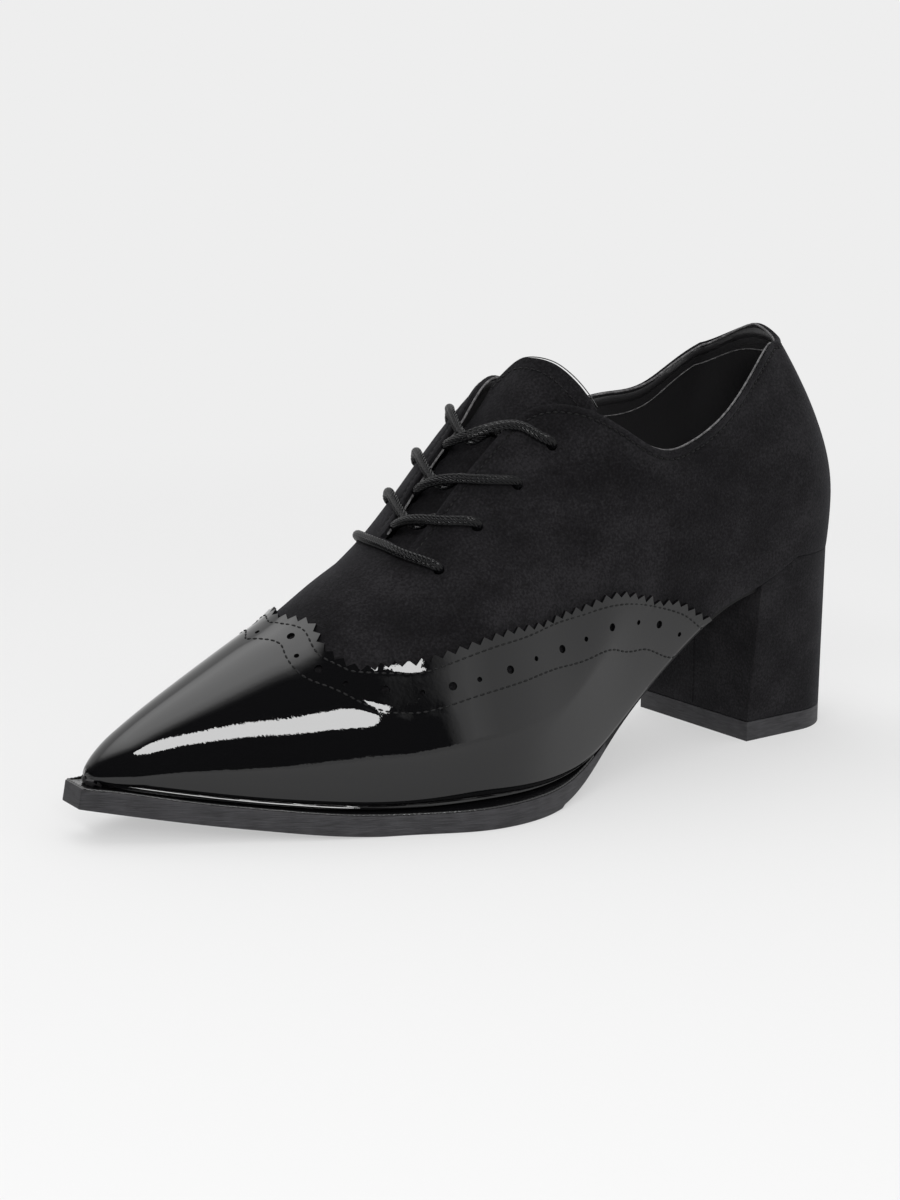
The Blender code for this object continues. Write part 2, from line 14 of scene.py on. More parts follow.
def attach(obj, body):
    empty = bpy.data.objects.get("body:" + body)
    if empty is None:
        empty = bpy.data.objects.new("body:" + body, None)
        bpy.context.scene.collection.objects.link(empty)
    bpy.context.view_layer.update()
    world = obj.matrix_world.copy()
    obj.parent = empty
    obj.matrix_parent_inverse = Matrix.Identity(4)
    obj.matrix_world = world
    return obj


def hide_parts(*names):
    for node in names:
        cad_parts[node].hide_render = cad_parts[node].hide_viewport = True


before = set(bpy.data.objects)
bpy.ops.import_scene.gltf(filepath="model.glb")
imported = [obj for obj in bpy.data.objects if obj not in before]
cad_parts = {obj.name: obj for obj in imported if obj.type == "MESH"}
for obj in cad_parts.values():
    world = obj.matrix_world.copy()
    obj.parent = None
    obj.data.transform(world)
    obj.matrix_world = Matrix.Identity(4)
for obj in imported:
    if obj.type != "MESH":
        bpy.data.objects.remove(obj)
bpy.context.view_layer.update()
bpy.context.scene.view_settings.view_transform = "Standard"

# Upper: vamp and quarters of black suede over a smooth black lining, lasted to the foot's form, folded at
# the topline and closed by the sole below. All places are in millimetres on the last: x from heel to toe,
# and an angle that is 0 on the ridge, 90 at the widest line and 180 at the feather line.
MM = 0.001
CENTRE_X, CENTRE_Y = 130.0, 6.95
NOSE_X, NOSE_START, NOSE_DROP = 255.2, 245.0, 2.4
WALL, FAN_X, THROAT_X = 1.8, 30.0, 165.0
SEAT_BACK, BACK_TOP = 59.6, 129.2
TUCK_TURN = math.radians(65)
SAME_PLACE, LEAST_STEP, ROUND_CELLS, ROUND_ANGLE = 2e-6, 1e-9, 2, 60
LAST_COLUMNS = (
    "x", "feather", "wide", "lateral", "medial", "tuck", "ridge_y", "ridge_z",
    "crown_lateral", "crown_medial", "edge_lateral", "edge_medial",
)
LAST = (
    (30.0, 58.8, 76.0, 30.8, -30.0, 0.6, 0.0, 133.0, 0.0, 0.0, 30.5, 36.0),
    (45.0, 51.8, 74.0, 31.3, -30.3, 0.8, 0.0, 137.0, 0.0, 0.0, 48.0, 54.0),
    (60.0, 47.0, 70.0, 31.6, -29.8, 1.2, -0.5, 140.0, 0.0, 0.0, 60.2, 57.4),
    (75.0, 38.5, 64.0, 31.8, -28.5, 1.7, -1.5, 147.0, 0.0, 0.0, 65.9, 59.5),
    (90.0, 27.7, 56.0, 32.3, -27.0, 2.1, -3.0, 143.0, 0.0, 0.0, 60.8, 56.0),
    (105.0, 17.6, 46.0, 34.2, -26.3, 1.4, -4.5, 133.0, 0.3, -0.2, 39.4, 43.0),
    (120.0, 10.2, 36.0, 38.0, -27.3, 0.8, -5.0, 120.0, 0.8, -0.5, 21.2, 23.5),
    (135.0, 7.2, 27.0, 42.2, -29.4, 0.8, -5.0, 106.1, 0.8, -0.5, 17.3, 3.0),
    (150.0, 6.7, 21.0, 45.0, -31.4, 1.5, -4.0, 90.1, 0.5, -0.4, 15.8, 2.6),
    (165.0, 6.4, 19.0, 43.3, -32.7, 2.2, -2.5, 74.3, 0.3, -0.45, 15.0, 1.5),
    (180.0, 6.1, 16.2, 38.1, -32.7, 2.2, -3.5, 65.0, 0.2, -0.25, 14.0, 2.0),
    (195.0, 6.6, 14.8, 31.5, -31.2, 2.2, -5.0, 55.6, 0.0, -0.1, 12.0, 4.0),
    (210.0, 8.1, 14.8, 23.5, -28.8, 2.2, -6.5, 47.2, 0.0, 0.0, 11.0, 5.0),
    (225.0, 10.0, 15.6, 14.3, -25.6, 2.2, -8.0, 38.8, 0.0, 0.0, 10.0, 6.0),
    (240.0, 12.4, 16.6, 4.5, -21.4, 2.2, -9.5, 30.0, 0.0, 0.0, 9.0, 7.0),
    (255.2, 15.4, 16.4, -5.2, -16.8, 2.2, -11.0, 19.8, 0.0, 0.0, 8.0, 8.0),
)
BACK_COLUMNS = ("z", "x")
BACK = (
    (56.0, 0.2), (66.0, -0.9), (77.0, -1.2), (88.0, 1.2), (100.0, 6.7), (110.0, 12.4), (121.0, 18.6),
    (129.0, 21.6),
)


def natural_cubic(xs, ys):
    """Knots, values and second derivatives of the smooth cubic through the rows."""
    xs, ys = np.array(xs, float), np.array(ys, float)
    step = np.diff(xs)
    rise = np.diff(ys) / step
    system = np.diag(np.r_[1.0, 2 * (step[:-1] + step[1:]), 1.0])
    for i in range(1, len(xs) - 1):
        system[i, i - 1], system[i, i + 1] = step[i - 1], step[i]
    bend = np.linalg.solve(system, np.r_[0.0, 6 * np.diff(rise), 0.0])
    return xs.tolist(), ys.tolist(), bend.tolist()


def splines(columns, rows):
    """A cubic per column, over the first column."""
    table = list(zip(*rows))
    return {name: natural_cubic(table[0], table[i]) for i, name in enumerate(columns) if i}


def at(cubic, x):
    """Value of a cubic at x, held to its end rows."""
    xs, ys, bend = cubic
    x = min(max(x, xs[0]), xs[-1])
    i = min(max(bisect.bisect_left(xs, x) - 1, 0), len(xs) - 2)
    h = xs[i + 1] - xs[i]
    b = (x - xs[i]) / h
    a = 1 - b
    return a * ys[i] + b * ys[i + 1] + ((a**3 - a) * bend[i] + (b**3 - b) * bend[i + 1]) * h * h / 6


LAST_CUBICS = splines(LAST_COLUMNS, LAST)
BACK_CUBICS = splines(BACK_COLUMNS, BACK)


def last(name, x):
    return at(LAST_CUBICS[name], x)


def part(x, start, end):
    """How far x is from a start to an end, held to 0 and 1."""
    return min(1.0, max(0.0, (x - start) / (end - start)))


def nose_round(x):
    """1 along the shoe, falling to 0 round the nose."""
    return math.sqrt(1 - part(x, NOSE_START, NOSE_X) ** 2)


def dome(reach, crown):
    """Height of the section, 0 to 1, at a reach of the half width, 0 to 1."""
    rest = max(0.0, 1 - reach * reach)
    return (1 - crown) * math.sqrt(rest) + crown * rest


def side_of(x, side):
    """Widest y, crown and edge angle of one side (+1 lateral, -1 medial)."""
    name = "lateral" if side > 0 else "medial"
    ridge_y = last("ridge_y", x)
    wide_y = ridge_y + (last(name, x) - ridge_y) * nose_round(x)
    return wide_y, last("crown_" + name, x), last("edge_" + name, x)


def surface(x, side, angle):
    """Point of the last's outer face."""
    wide_y, crown, _ = side_of(x, side)
    ridge_y, wide, feather = last("ridge_y", x), last("wide", x), last("feather", x)
    ridge_z = last("ridge_z", x) - NOSE_DROP * (1 - nose_round(x))
    if angle <= 90:
        reach = math.sin(math.radians(angle))
        return x, ridge_y + (wide_y - ridge_y) * reach, wide + (ridge_z - wide) * dome(reach, crown)
    swing = TUCK_TURN * (angle - 90) / 90
    tuck = side * last("tuck", x) * nose_round(x) * (1 - math.cos(swing)) / (1 - math.cos(TUCK_TURN))
    return x, wide_y - tuck, wide - (wide - feather) * math.sin(swing) / math.sin(TUCK_TURN)


def heel_surface(turn, level, swing_share=0):
    """Outer face round the heel: turn from -90 medial to 90 lateral; level 0 is the widest line and 1 the
    topline, and swing_share 1 the feather line."""
    side = 1 if turn >= 0 else -1
    along, across = math.cos(math.radians(turn)), abs(math.sin(math.radians(turn)))
    wide_y = side_of(FAN_X, side)[0]
    wide, ridge_z = last("wide", FAN_X), last("ridge_z", FAN_X)
    share = (turn + 90) / 180
    edge = math.radians(last("edge_medial", FAN_X) * (1 - share) + last("edge_lateral", FAN_X) * share)
    if swing_share > 0:
        feather = last("feather", FAN_X) * across + SEAT_BACK * (1 - across)
        swing = TUCK_TURN * swing_share
        half = abs(wide_y) - last("tuck", FAN_X) * (1 - math.cos(swing)) / (1 - math.cos(TUCK_TURN))
        z = wide - (wide - feather) * math.sin(swing) / math.sin(TUCK_TURN)
    else:
        side_top = wide + (ridge_z - wide) * math.cos(edge)
        top = side_top + (BACK_TOP - side_top) * along**2
        z = wide + (top - wide) * math.cos(math.pi / 2 - level * (math.pi / 2 - edge)) / math.cos(edge)
        half = abs(wide_y) * math.sqrt(max(0.0, 1 - ((z - wide) / (ridge_z - wide)) ** 2))
    return FAN_X - (FAN_X - at(BACK_CUBICS["x"], z)) * along, side * half * across, z


def outward(x, side, angle):
    """Unit vector square to the last's outer face."""
    step_x, step_a = 0.3, 0.4
    low, high = max(0.0, angle - step_a), angle + step_a
    along = Vector(surface(x, side, angle)) - Vector(surface(x - step_x, side, angle))
    up = Vector(surface(x, side, low)) - Vector(surface(x, side, high))
    return (up.cross(along) * side).normalized()


def lifted(x, angle, lift):
    """Point a lift above the last; a positive angle is on the outer side, a negative one on the inner."""
    side = 1 if angle >= 0 else -1
    return Vector(surface(x, side, abs(angle))) + outward(x, side, abs(angle)) * lift


def put(point):
    """A drawn point in metres in the shoe's frame."""
    return Vector(((point[0] - CENTRE_X) * MM, (point[1] - CENTRE_Y) * MM, point[2] * MM))


def lay(shape, across, along, place):
    """Adds a grid of faces with its corners laid by place(u, v), u and v from 0 to 1."""
    made = bmesh.ops.create_grid(shape, x_segments=across, y_segments=along, size=0.5)
    for corner in made["verts"]:
        corner.co = put(place(corner.co.x + 0.5, corner.co.y + 0.5))


def rod(shape, sides, radius, length, stand=Matrix()):
    """Adds a round rod, in millimetres, that stands along z and is then moved by a matrix in metres."""
    bmesh.ops.create_cone(shape, cap_ends=True, segments=sides, radius1=radius * MM, radius2=radius * MM,
                          depth=length * MM, matrix=stand)


def join_up(shape, fill=False):
    """Joins corners that fall together, fills open ends where asked, and turns every face outward."""
    bmesh.ops.remove_doubles(shape, verts=shape.verts, dist=SAME_PLACE)
    if fill:
        bmesh.ops.holes_fill(shape, edges=[edge for edge in shape.edges if edge.is_boundary])
    bmesh.ops.recalc_face_normals(shape, faces=shape.faces)


def solid(name, shape, *paints):
    """An object of the scene from a bmesh."""
    mesh = bpy.data.meshes.new(name)
    shape.to_mesh(mesh)
    shape.free()
    for paint in paints:
        mesh.materials.append(paint)
    made = bpy.data.objects.new(name, mesh)
    bpy.context.scene.collection.objects.link(made)
    return made


def piece(name, shape, *paints):
    """One piece of the shoe from a bmesh, riding on its only body."""
    made = solid(name, shape, *paints)
    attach(made, "root")
    return made


def thicken(made, thickness, inner_paint=0):
    """Gives a sheet its thickness in millimetres, inwards; its inside may take a later one of its paints."""
    wall = made.modifiers.new("wall", "SOLIDIFY")
    wall.thickness, wall.offset = thickness * MM, -1
    wall.material_offset = inner_paint


def round_edges(made, width):
    """Rounds a piece's square edges by a width in millimetres."""
    roll = made.modifiers.new("roll", "BEVEL")
    roll.width, roll.segments = width * MM, ROUND_CELLS
    roll.limit_method, roll.angle_limit = "ANGLE", math.radians(ROUND_ANGLE)


def settle(made, sharp=40):
    """Applies a piece's modifiers, then smooths it up to the given angle between faces."""
    graph = bpy.context.evaluated_depsgraph_get()
    mesh = bpy.data.meshes.new_from_object(made.evaluated_get(graph))
    made.modifiers.clear()
    made.data = mesh
    shape = bmesh.new()
    shape.from_mesh(mesh)
    for face in shape.faces:
        face.smooth = True
    for edge in shape.edges:
        edge.smooth = edge.calc_face_angle(0) < math.radians(sharp)
    shape.to_mesh(mesh)
    shape.free()


def finish(name, colour, roughness, **constants):
    """A Principled finish; further constants are set on the shader's own sockets."""
    paint = bpy.data.materials.new(name)
    paint.use_nodes = True
    shader = paint.node_tree.nodes["Principled BSDF"]
    shader.inputs["Base Color"].default_value = (*colour, 1)
    shader.inputs["Roughness"].default_value = roughness
    for socket, value in constants.items():
        shader.inputs[socket.replace("_", " ")].default_value = value
    return paint


def node(tree, kind, *firsts, operation=None, **others):
    """A new node: its first inputs in turn and others by name, each a value or a socket to link from."""
    made = tree.nodes.new("ShaderNode" + kind)
    if operation:
        made.operation = operation
    inputs = dict(enumerate(firsts))
    inputs.update((name.replace("_", " "), value) for name, value in others.items())
    for place, value in inputs.items():
        if isinstance(value, bpy.types.NodeSocket):
            tree.links.new(value, made.inputs[place])
        else:
            made.inputs[place].default_value = value
    return made


def noise(paint, size, detail=3, stretch=(1, 1, 1)):
    """Noise of a grain size in millimetres on the piece's own coordinates."""
    tree = paint.node_tree
    where = node(tree, "TexCoord").outputs["Object"]
    turned = node(tree, "Mapping", Vector=where, Scale=stretch).outputs["Vector"]
    return node(tree, "TexNoise", Vector=turned, Scale=1 / (size * MM), Detail=detail).outputs["Fac"]


def relief(paint, height, depth, strength):
    """Bump of a depth in millimetres, on top of any the finish already has."""
    tree = paint.node_tree
    bump = node(tree, "Bump", Distance=depth * MM, Strength=strength, Height=height)
    normal = tree.nodes["Principled BSDF"].inputs["Normal"]
    if normal.is_linked:
        tree.links.new(normal.links[0].from_socket, bump.inputs["Normal"])
    tree.links.new(bump.outputs["Normal"], normal)


def ramp(tree, fac, stops):
    """Colours or greys by a factor, as (place, value) stops."""
    made = node(tree, "ValToRGB", Fac=fac)
    band = made.color_ramp.elements
    band.remove(band[1])
    for n, (place, value) in enumerate(stops):
        stop = band.new(place) if n else band[0]
        stop.position = place
        stop.color = (*value, 1) if isinstance(value, tuple) else (value, value, value, 1)
    return made.outputs["Color"]


def shades(paint, fac, *stops):
    """Base colours of a finish by a factor, as (place, colour) stops."""
    tree = paint.node_tree
    tree.links.new(ramp(tree, fac, stops), tree.nodes["Principled BSDF"].inputs["Base Color"])


def mixed(paint, first, second, share):
    """Two factors mixed, the second by a share."""
    return node(paint.node_tree, "Mix", Factor=share, A=first, B=second).outputs["Result"]


suede = finish("suede", (0.011, 0.0105, 0.012), roughness=0.95, Sheen_Weight=0.08, Sheen_Roughness=0.5,
               Sheen_Tint=(0.5, 0.5, 0.55, 1), Specular_IOR_Level=0.1)
clouds = noise(suede, size=17, detail=5, stretch=(1, 1, 1.4))
nap = mixed(suede, clouds, noise(suede, size=0.75, detail=2), share=0.5)
shades(suede, nap, (0.37, (0.0038, 0.0035, 0.004)), (0.5, (0.0085, 0.0081, 0.009)),
       (0.63, (0.0168, 0.016, 0.0175)))
relief(suede, noise(suede, size=1.1, detail=4), depth=0.16, strength=0.6)
relief(suede, noise(suede, size=0.4, detail=2), depth=0.16, strength=0.95)
lining = finish("lining", (0.02, 0.0195, 0.0205), roughness=0.4, Specular_IOR_Level=0.5)
relief(lining, noise(lining, size=0.8, detail=4), depth=0.12, strength=0.8)

# Soft forms of the worn-in last, troughs and swells in the quarters: a row is the x, angle, length, width,
# turn and depth of one, and the depth of a swell is below 0.
SOFT = (
    (96.0, 82.0, 30.0, 12.0, -42.0, 0.9),
    (58.0, 96.0, 26.0, 11.0, -12.0, -0.5),
    (122.0, 56.0, 26.0, 8.0, 20.0, 0.5),
    (150.0, 44.0, 16.0, 7.0, 8.0, -0.5),
    (176.0, 34.0, 12.0, 5.0, 60.0, 0.45),
    (96.0, -82.0, 30.0, 12.0, 42.0, 0.9),
    (124.0, -58.0, 24.0, 8.0, -20.0, 0.5),
    (176.0, -32.0, 12.0, 5.0, -60.0, 0.45),
)
DEGREE, SOFT_LEAST = 0.95, 0.02


def soft_depth(x, angle):
    """How far the soft forms press in at a place; one degree counts as about a millimetre."""
    depth = 0.0
    for row_x, row_angle, length, width, turn, deep in SOFT:
        away_x, away_a = x - row_x, (angle - row_angle) * DEGREE
        turned = math.radians(turn)
        along = away_x * math.cos(turned) + away_a * math.sin(turned)
        beside = away_a * math.cos(turned) - away_x * math.sin(turned)
        depth += deep * math.exp(-((along / length) ** 2) - (beside / width) ** 2)
    return depth


def skin(x, side, angle):
    """Point of the upper's outer face with its soft forms."""
    point = surface(x, side, angle)
    depth = soft_depth(x, side * angle)
    if abs(depth) < SOFT_LEAST:
        return point
    return Vector(point) - outward(x, side, angle) * depth


# The edge is folded and sewn: a rolled lip at the edge itself and a groove where the thread pulls it in.
LOW_CELLS, SIDE_CELLS, FAN_CELLS, VAMP_CELLS, TAB_CELLS, HIGH_CELLS = 8, 66, 36, 58, 8, 22
EDGE_STEPS = (5.2, 4.2, 3.5, 3.0, 2.6, 2.2, 1.7, 1.1, 0.5, 0.0)
RIB_CELLS = LOW_CELLS + HIGH_CELLS + len(EDGE_STEPS) - 1
QUARTER_CELLS, SECTION_CELLS = 2 * SIDE_CELLS + FAN_CELLS, 2 * RIB_CELLS + TAB_CELLS
LIP, LIP_IN, LIP_WIDE, LIP_FROM, LIP_TO = 0.38, 1.1, 0.9, 164.0, 156.0
GROOVE_DEEP, GROOVE_IN, GROOVE_SPREAD = 0.4, 2.6, 0.55
NOSE_CLOSER = 1.7


def bell(away, wide):
    """1 in the middle, falling away smoothly over a width."""
    return math.exp(-((away / wide) ** 2))


def lip(away):
    """Rise of the folded edge at a distance from it."""
    return LIP * bell(away - LIP_IN, LIP_WIDE) - GROOVE_DEEP * bell(away - GROOVE_IN, GROOVE_SPREAD)


def edge_angle(x, side, away):
    """Angle at a distance below the edge of a quarter."""
    edge = side_of(x, side)[2]
    degree = (Vector(surface(x, side, edge + 1)) - Vector(surface(x, side, edge))).length
    return edge + away / degree


def rib_angle(x, side, i):
    """Angle of the i-th corner of a rib, from the feather line up, and its distance from a near edge."""
    if i <= LOW_CELLS:
        return 180 - 90 * i / LOW_CELLS, None
    near = edge_angle(x, side, EDGE_STEPS[0])
    if i <= LOW_CELLS + HIGH_CELLS:
        return 90 - (90 - near) * (i - LOW_CELLS) / HIGH_CELLS, None
    away = EDGE_STEPS[i - LOW_CELLS - HIGH_CELLS]
    return edge_angle(x, side, away), away


def heel_face(turn, level):
    """Way that the outer face looks round the heel."""
    step, rise = 1, 0.02
    across = Vector(heel_surface(turn + step, level)) - Vector(heel_surface(turn - step, level))
    up = Vector(heel_surface(turn, min(level + rise, 1))) - Vector(heel_surface(turn, level - rise))
    return up.cross(across).normalized()


def heel_level(turn, away):
    """Level round the heel at a distance below the topline."""
    drop = 0.05
    step = Vector(heel_surface(turn, 1)) - Vector(heel_surface(turn, 1 - drop))
    return 1 - drop * away / step.length


def rolled(x, side, i):
    """Point of the i-th corner of a rib, with the lip of its folded edge."""
    angle, away = rib_angle(x, side, i)
    point = Vector(skin(x, side, angle))
    if away is None:
        return point
    return point + outward(x, side, angle) * lip(away) * part(x, LIP_FROM, LIP_TO)


def quarter_place(u, v):
    """Both quarters, from the throat's outer side round the heel to its inner side."""
    station, i = round(u * QUARTER_CELLS), round(v * RIB_CELLS)
    if SIDE_CELLS < station < SIDE_CELLS + FAN_CELLS:
        turn = 90 - 180 * (station - SIDE_CELLS) / FAN_CELLS
        if i <= LOW_CELLS:
            return heel_surface(turn, 0, 1 - i / LOW_CELLS)
        if i <= LOW_CELLS + HIGH_CELLS:
            return heel_surface(turn, heel_level(turn, EDGE_STEPS[0]) * (i - LOW_CELLS) / HIGH_CELLS)
        away = EDGE_STEPS[i - LOW_CELLS - HIGH_CELLS]
        level = heel_level(turn, away)
        return Vector(heel_surface(turn, level)) + heel_face(turn, level) * lip(away)
    side = 1 if station <= SIDE_CELLS else -1
    step = station if side > 0 else QUARTER_CELLS - station
    return rolled(THROAT_X + (FAN_X - THROAT_X) * step / SIDE_CELLS, side, i)


def vamp_place(u, v):
    """The vamp from the throat to the nose, with its sections closer together at the nose."""
    x = THROAT_X + (NOSE_X - THROAT_X) * (1 - (1 - u) ** NOSE_CLOSER)
    i = round(v * SECTION_CELLS)
    if RIB_CELLS < i < RIB_CELLS + TAB_CELLS:
        share = (i - RIB_CELLS) / TAB_CELLS
        angle = side_of(x, 1)[2] * (1 - share) - side_of(x, -1)[2] * share
        return skin(x, 1 if angle >= 0 else -1, abs(angle))
    side = 1 if i <= RIB_CELLS else -1
    return rolled(x, side, i if side > 0 else SECTION_CELLS - i)


# A row for each pair of eyelets: x and angle of the outer one, then of the inner one.
EYELETS = (
    (118.8, 32.1, 128.5, 37.0),
    (132.1, 30.7, 141.0, 34.0),
    (147.3, 29.7, 151.5, 32.0),
    (160.9, 29.3, 162.5, 31.0),
)
EYELET_RADIUS, EYELET_LONG, EYELET_SIDES, FOLD_ROUND = 1.7, 9.0, 20, 0.3
shape = bmesh.new()
lay(shape, QUARTER_CELLS, RIB_CELLS, quarter_place)
bmesh.ops.reverse_faces(shape, faces=shape.faces)
lay(shape, VAMP_CELLS, SECTION_CELLS, vamp_place)
join_up(shape)
upper = piece("suede_upper", shape, suede, lining)
thicken(upper, WALL, inner_paint=1)
round_edges(upper, FOLD_ROUND)
shape = bmesh.new()
for outer_x, outer, inner_x, inner in EYELETS:
    for x, angle in ((outer_x, outer), (inner_x, -inner)):
        way = lifted(x, angle, 1) - lifted(x, angle, 0)
        stand = Vector((0, 0, 1)).rotation_difference(way).to_matrix().to_4x4()
        stand.translation = put(lifted(x, angle, 0))
        rod(shape, EYELET_SIDES, EYELET_RADIUS, EYELET_LONG, stand)
punches = solid("punches", shape)
punched = upper.modifiers.new("eyelets", "BOOLEAN")
punched.operation, punched.solver, punched.object = "DIFFERENCE", "EXACT", punches
settle(upper)
bpy.data.objects.remove(punches)
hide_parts("upper")

# Topline and facing stitching: one row of dull black thread along the folded edge of the quarters and round
# the collar, sewn by machine through suede and lining, which it pulls into a groove.
THREAD_PITCH, THREAD_LONG, THREAD_THICK, THREAD_FLAT = 2.1, 1.7, 0.32, 0.8
THREAD_SIDES, THREAD_RINGS, SEAM_DEEP, LINE_CELLS, TURN_STEP = 7, 5, 0.18, 16, 6
thread = finish("thread", (0.0025, 0.0025, 0.0028), roughness=0.6, Specular_IOR_Level=0.25)
relief(thread, noise(thread, size=0.25, detail=2), depth=0.05, strength=0.7)


def smooth_spots(stops):
    """Close spots of a smooth line through stops."""
    columns = [natural_cubic(range(len(stops)), column) for column in zip(*stops)]
    count = (len(stops) - 1) * LINE_CELLS
    return [[at(column, i / LINE_CELLS) for column in columns] for i in range(count + 1)]


def even_steps(spots, where, pitch):
    """Even places along a line of close spots: point, way along and the line's own coordinates."""
    points = [Vector(where(*spot)) for spot in spots]
    lengths = [0.0]
    for a, b in zip(points, points[1:]):
        lengths.append(lengths[-1] + (b - a).length)
    places = []
    for n in range(int(lengths[-1] / pitch) + 1):
        i = min(max(bisect.bisect_right(lengths, n * pitch) - 1, 0), len(points) - 2)
        share = (n * pitch - lengths[i]) / max(lengths[i + 1] - lengths[i], LEAST_STEP)
        spot = [a + (b - a) * share for a, b in zip(spots[i], spots[i + 1])]
        along = (points[i + 1] - points[i]).normalized()
        places.append((points[i].lerp(points[i + 1], share), along, spot))
    return places


def steps_along(stops, where, pitch):
    """The same along a smooth line through stops."""
    return even_steps(smooth_spots(stops), where, pitch)


def sew(name, rows):
    """A piece of stitches, pressed beads of thread, along rows of (point, way along, way of the face)."""
    shape = bmesh.new()
    size = Matrix.Diagonal((THREAD_LONG / 2 * MM, THREAD_THICK * MM, THREAD_THICK * THREAD_FLAT * MM, 1))
    for places in rows:
        for point, along, face in places:
            side = face.cross(along).normalized()
            turn = Matrix((along, side, along.cross(side))).transposed().to_4x4()
            bmesh.ops.create_uvsphere(shape, u_segments=THREAD_SIDES, v_segments=THREAD_RINGS, radius=1,
                                      matrix=Matrix.Translation(put(point)) @ turn @ size)
    for face in shape.faces:
        face.smooth = True
    made = piece(name, shape, thread)


SEAM_X = (164, 157, 150, 142, 135, 129, 124, 119, 114, 109, 104, 98, 91, 83, 75, 66, 56, 46, 38, 31)
seams = []
for side in (1, -1):
    stops = [(x, side * edge_angle(x, side, GROOVE_IN)) for x in SEAM_X]
    places = steps_along(stops, lambda x, angle: lifted(x, angle, -SEAM_DEEP), THREAD_PITCH)
    seams.append([(point, along, outward(x, side, abs(angle))) for point, along, (x, angle) in places])
turns = range(90, -91, -TURN_STEP)
back = steps_along([(turn, heel_level(turn, GROOVE_IN)) for turn in turns], heel_surface, THREAD_PITCH)
seams.append([(p - heel_face(*spot) * SEAM_DEEP, along, heel_face(*spot)) for p, along, spot in back])
sew("topline_stitching", seams)

# Lining edge: the lining is trimmed level with the folded suede, so its pale cut edge shows as a line just
# inside the topline, partly its own pale colour and partly painted highlight where the edge catches light;
# a second pale line lower down, along the seam of the collar tape, is painted highlight on that seam.
# Pale finish: the cut edge's own colour plus painted highlight, and the painted highlight of the tape seam.
pale_edge_and_painted_highlight = finish("pale_edge_and_painted_highlight", (0.1, 0.098, 0.1), roughness=0.7, Specular_IOR_Level=0.3)
shades(pale_edge_and_painted_highlight, noise(pale_edge_and_painted_highlight, size=1.2, detail=2), (0.35, (0.06, 0.058, 0.06)),
       (0.7, (0.17, 0.167, 0.17)))
TRIM_RADIUS, TRIM_LIFT, TRIM_OUT, TRIM_STEP, TRIM_SIDES = 0.36, -1.4, 0.1, 1.2, 8
TAPE_IN, TAPE_RADIUS, TAPE_PROUD, TAPE_FROM = 7.5, 0.2, 0.05, 9


def framed(points):
    """Each point of a line with two ways square to it, carried along without twist."""
    side_way = Vector((0, 0, 1)).cross(points[1] - points[0]).normalized()
    line = []
    for n, point in enumerate(points):
        ahead = (points[min(n + 1, len(points) - 1)] - points[max(n - 1, 0)]).normalized()
        side_way = (side_way - ahead * side_way.dot(ahead)).normalized()
        line.append((point, side_way, ahead.cross(side_way)))
    return line


def tube(shape, points, sides, reach):
    """Adds a closed tube round a line; reach(n, turn) is its radius at a point of the line."""
    line = framed(points)

    def place(u, v):
        n, i = round(u * (len(line) - 1)), round(v * sides) % sides
        turn = 2 * math.pi * i / sides
        point, side_way, up_way = line[n]
        return point + (side_way * math.cos(turn) + up_way * math.sin(turn)) * reach(n, turn)

    lay(shape, len(line) - 1, sides, place)
    join_up(shape, fill=True)


def round_collar(away, lift, first):
    """Even points along the topline, a distance below it and a lift off the outer face."""
    line = [lifted(x, edge_angle(x, 1, away), lift) for x in SEAM_X[first:]]
    for turn in turns[1:-1]:
        level = heel_level(turn, away)
        line.append(Vector(heel_surface(turn, level)) + heel_face(turn, level) * lift)
    line += [lifted(x, -edge_angle(x, -1, away), lift) for x in reversed(SEAM_X[first:])]
    return [point for point, _, _ in steps_along(line, lambda x, y, z: (x, y, z), TRIM_STEP)]


shape = bmesh.new()
tube(shape, round_collar(-TRIM_OUT, TRIM_LIFT, 0), TRIM_SIDES, lambda n, turn: TRIM_RADIUS)
tube(shape, round_collar(TAPE_IN, -WALL - TAPE_PROUD, TAPE_FROM), TRIM_SIDES, lambda n, turn: TAPE_RADIUS)
# Both tubes take the pale finish: painted highlight along the topline edge and along the collar tape seam.
trim = piece("lining_edge", shape, pale_edge_and_painted_highlight)
settle(trim, sharp=60)

# Wing cap: black patent leather, cut with a pinked edge and punched with brogue holes, laid over the vamp
# and sewn with two rows. It is drawn flat, over x and an angle, then laid on the last. Rows are (x, angle).
CAP_LIFT, CAP_WALL, CAP_SAME_PLACE, CAP_LEAST = 0.5, 1.0, 2e-5, 1e-6
WING_LOW, CAP_RISE, CAP_SHARE, HALVINGS = 160.0, 0.8, 0.7, 30
WING = (
    (198.2, 0.0), (196.7, 8.0), (195.4, 14.0), (194.3, 18.5), (195.2, 27.0), (195.3, 35.0), (190.6, 46.5),
    (183.2, 49.5), (176.8, 51.8), (170.5, 52.8), (164.0, 53.8), (154.5, 55.2), (144.0, 57.0), (135.0, 59.0),
    (126.0, 61.5), (115.0, 70.0), (103.7, 82.0), (92.6, 93.8), (86.7, 103.3), (81.5, 112.9), (77.4, 124.3),
    (73.5, 137.7), (67.8, 160.0),
)
UPPER_ROW = (
    (200.4, 0.0), (198.8, 9.0), (196.9, 18.4), (197.3, 26.6), (197.1, 35.8), (193.9, 43.9), (189.5, 49.1),
    (178.5, 54.4), (172.4, 55.8), (163.8, 56.5), (154.4, 57.6), (142.9, 59.0), (130.4, 60.9), (118.1, 68.8),
    (106.6, 81.5), (93.4, 94.6), (79.6, 124.8), (71.6, 159.0),
)
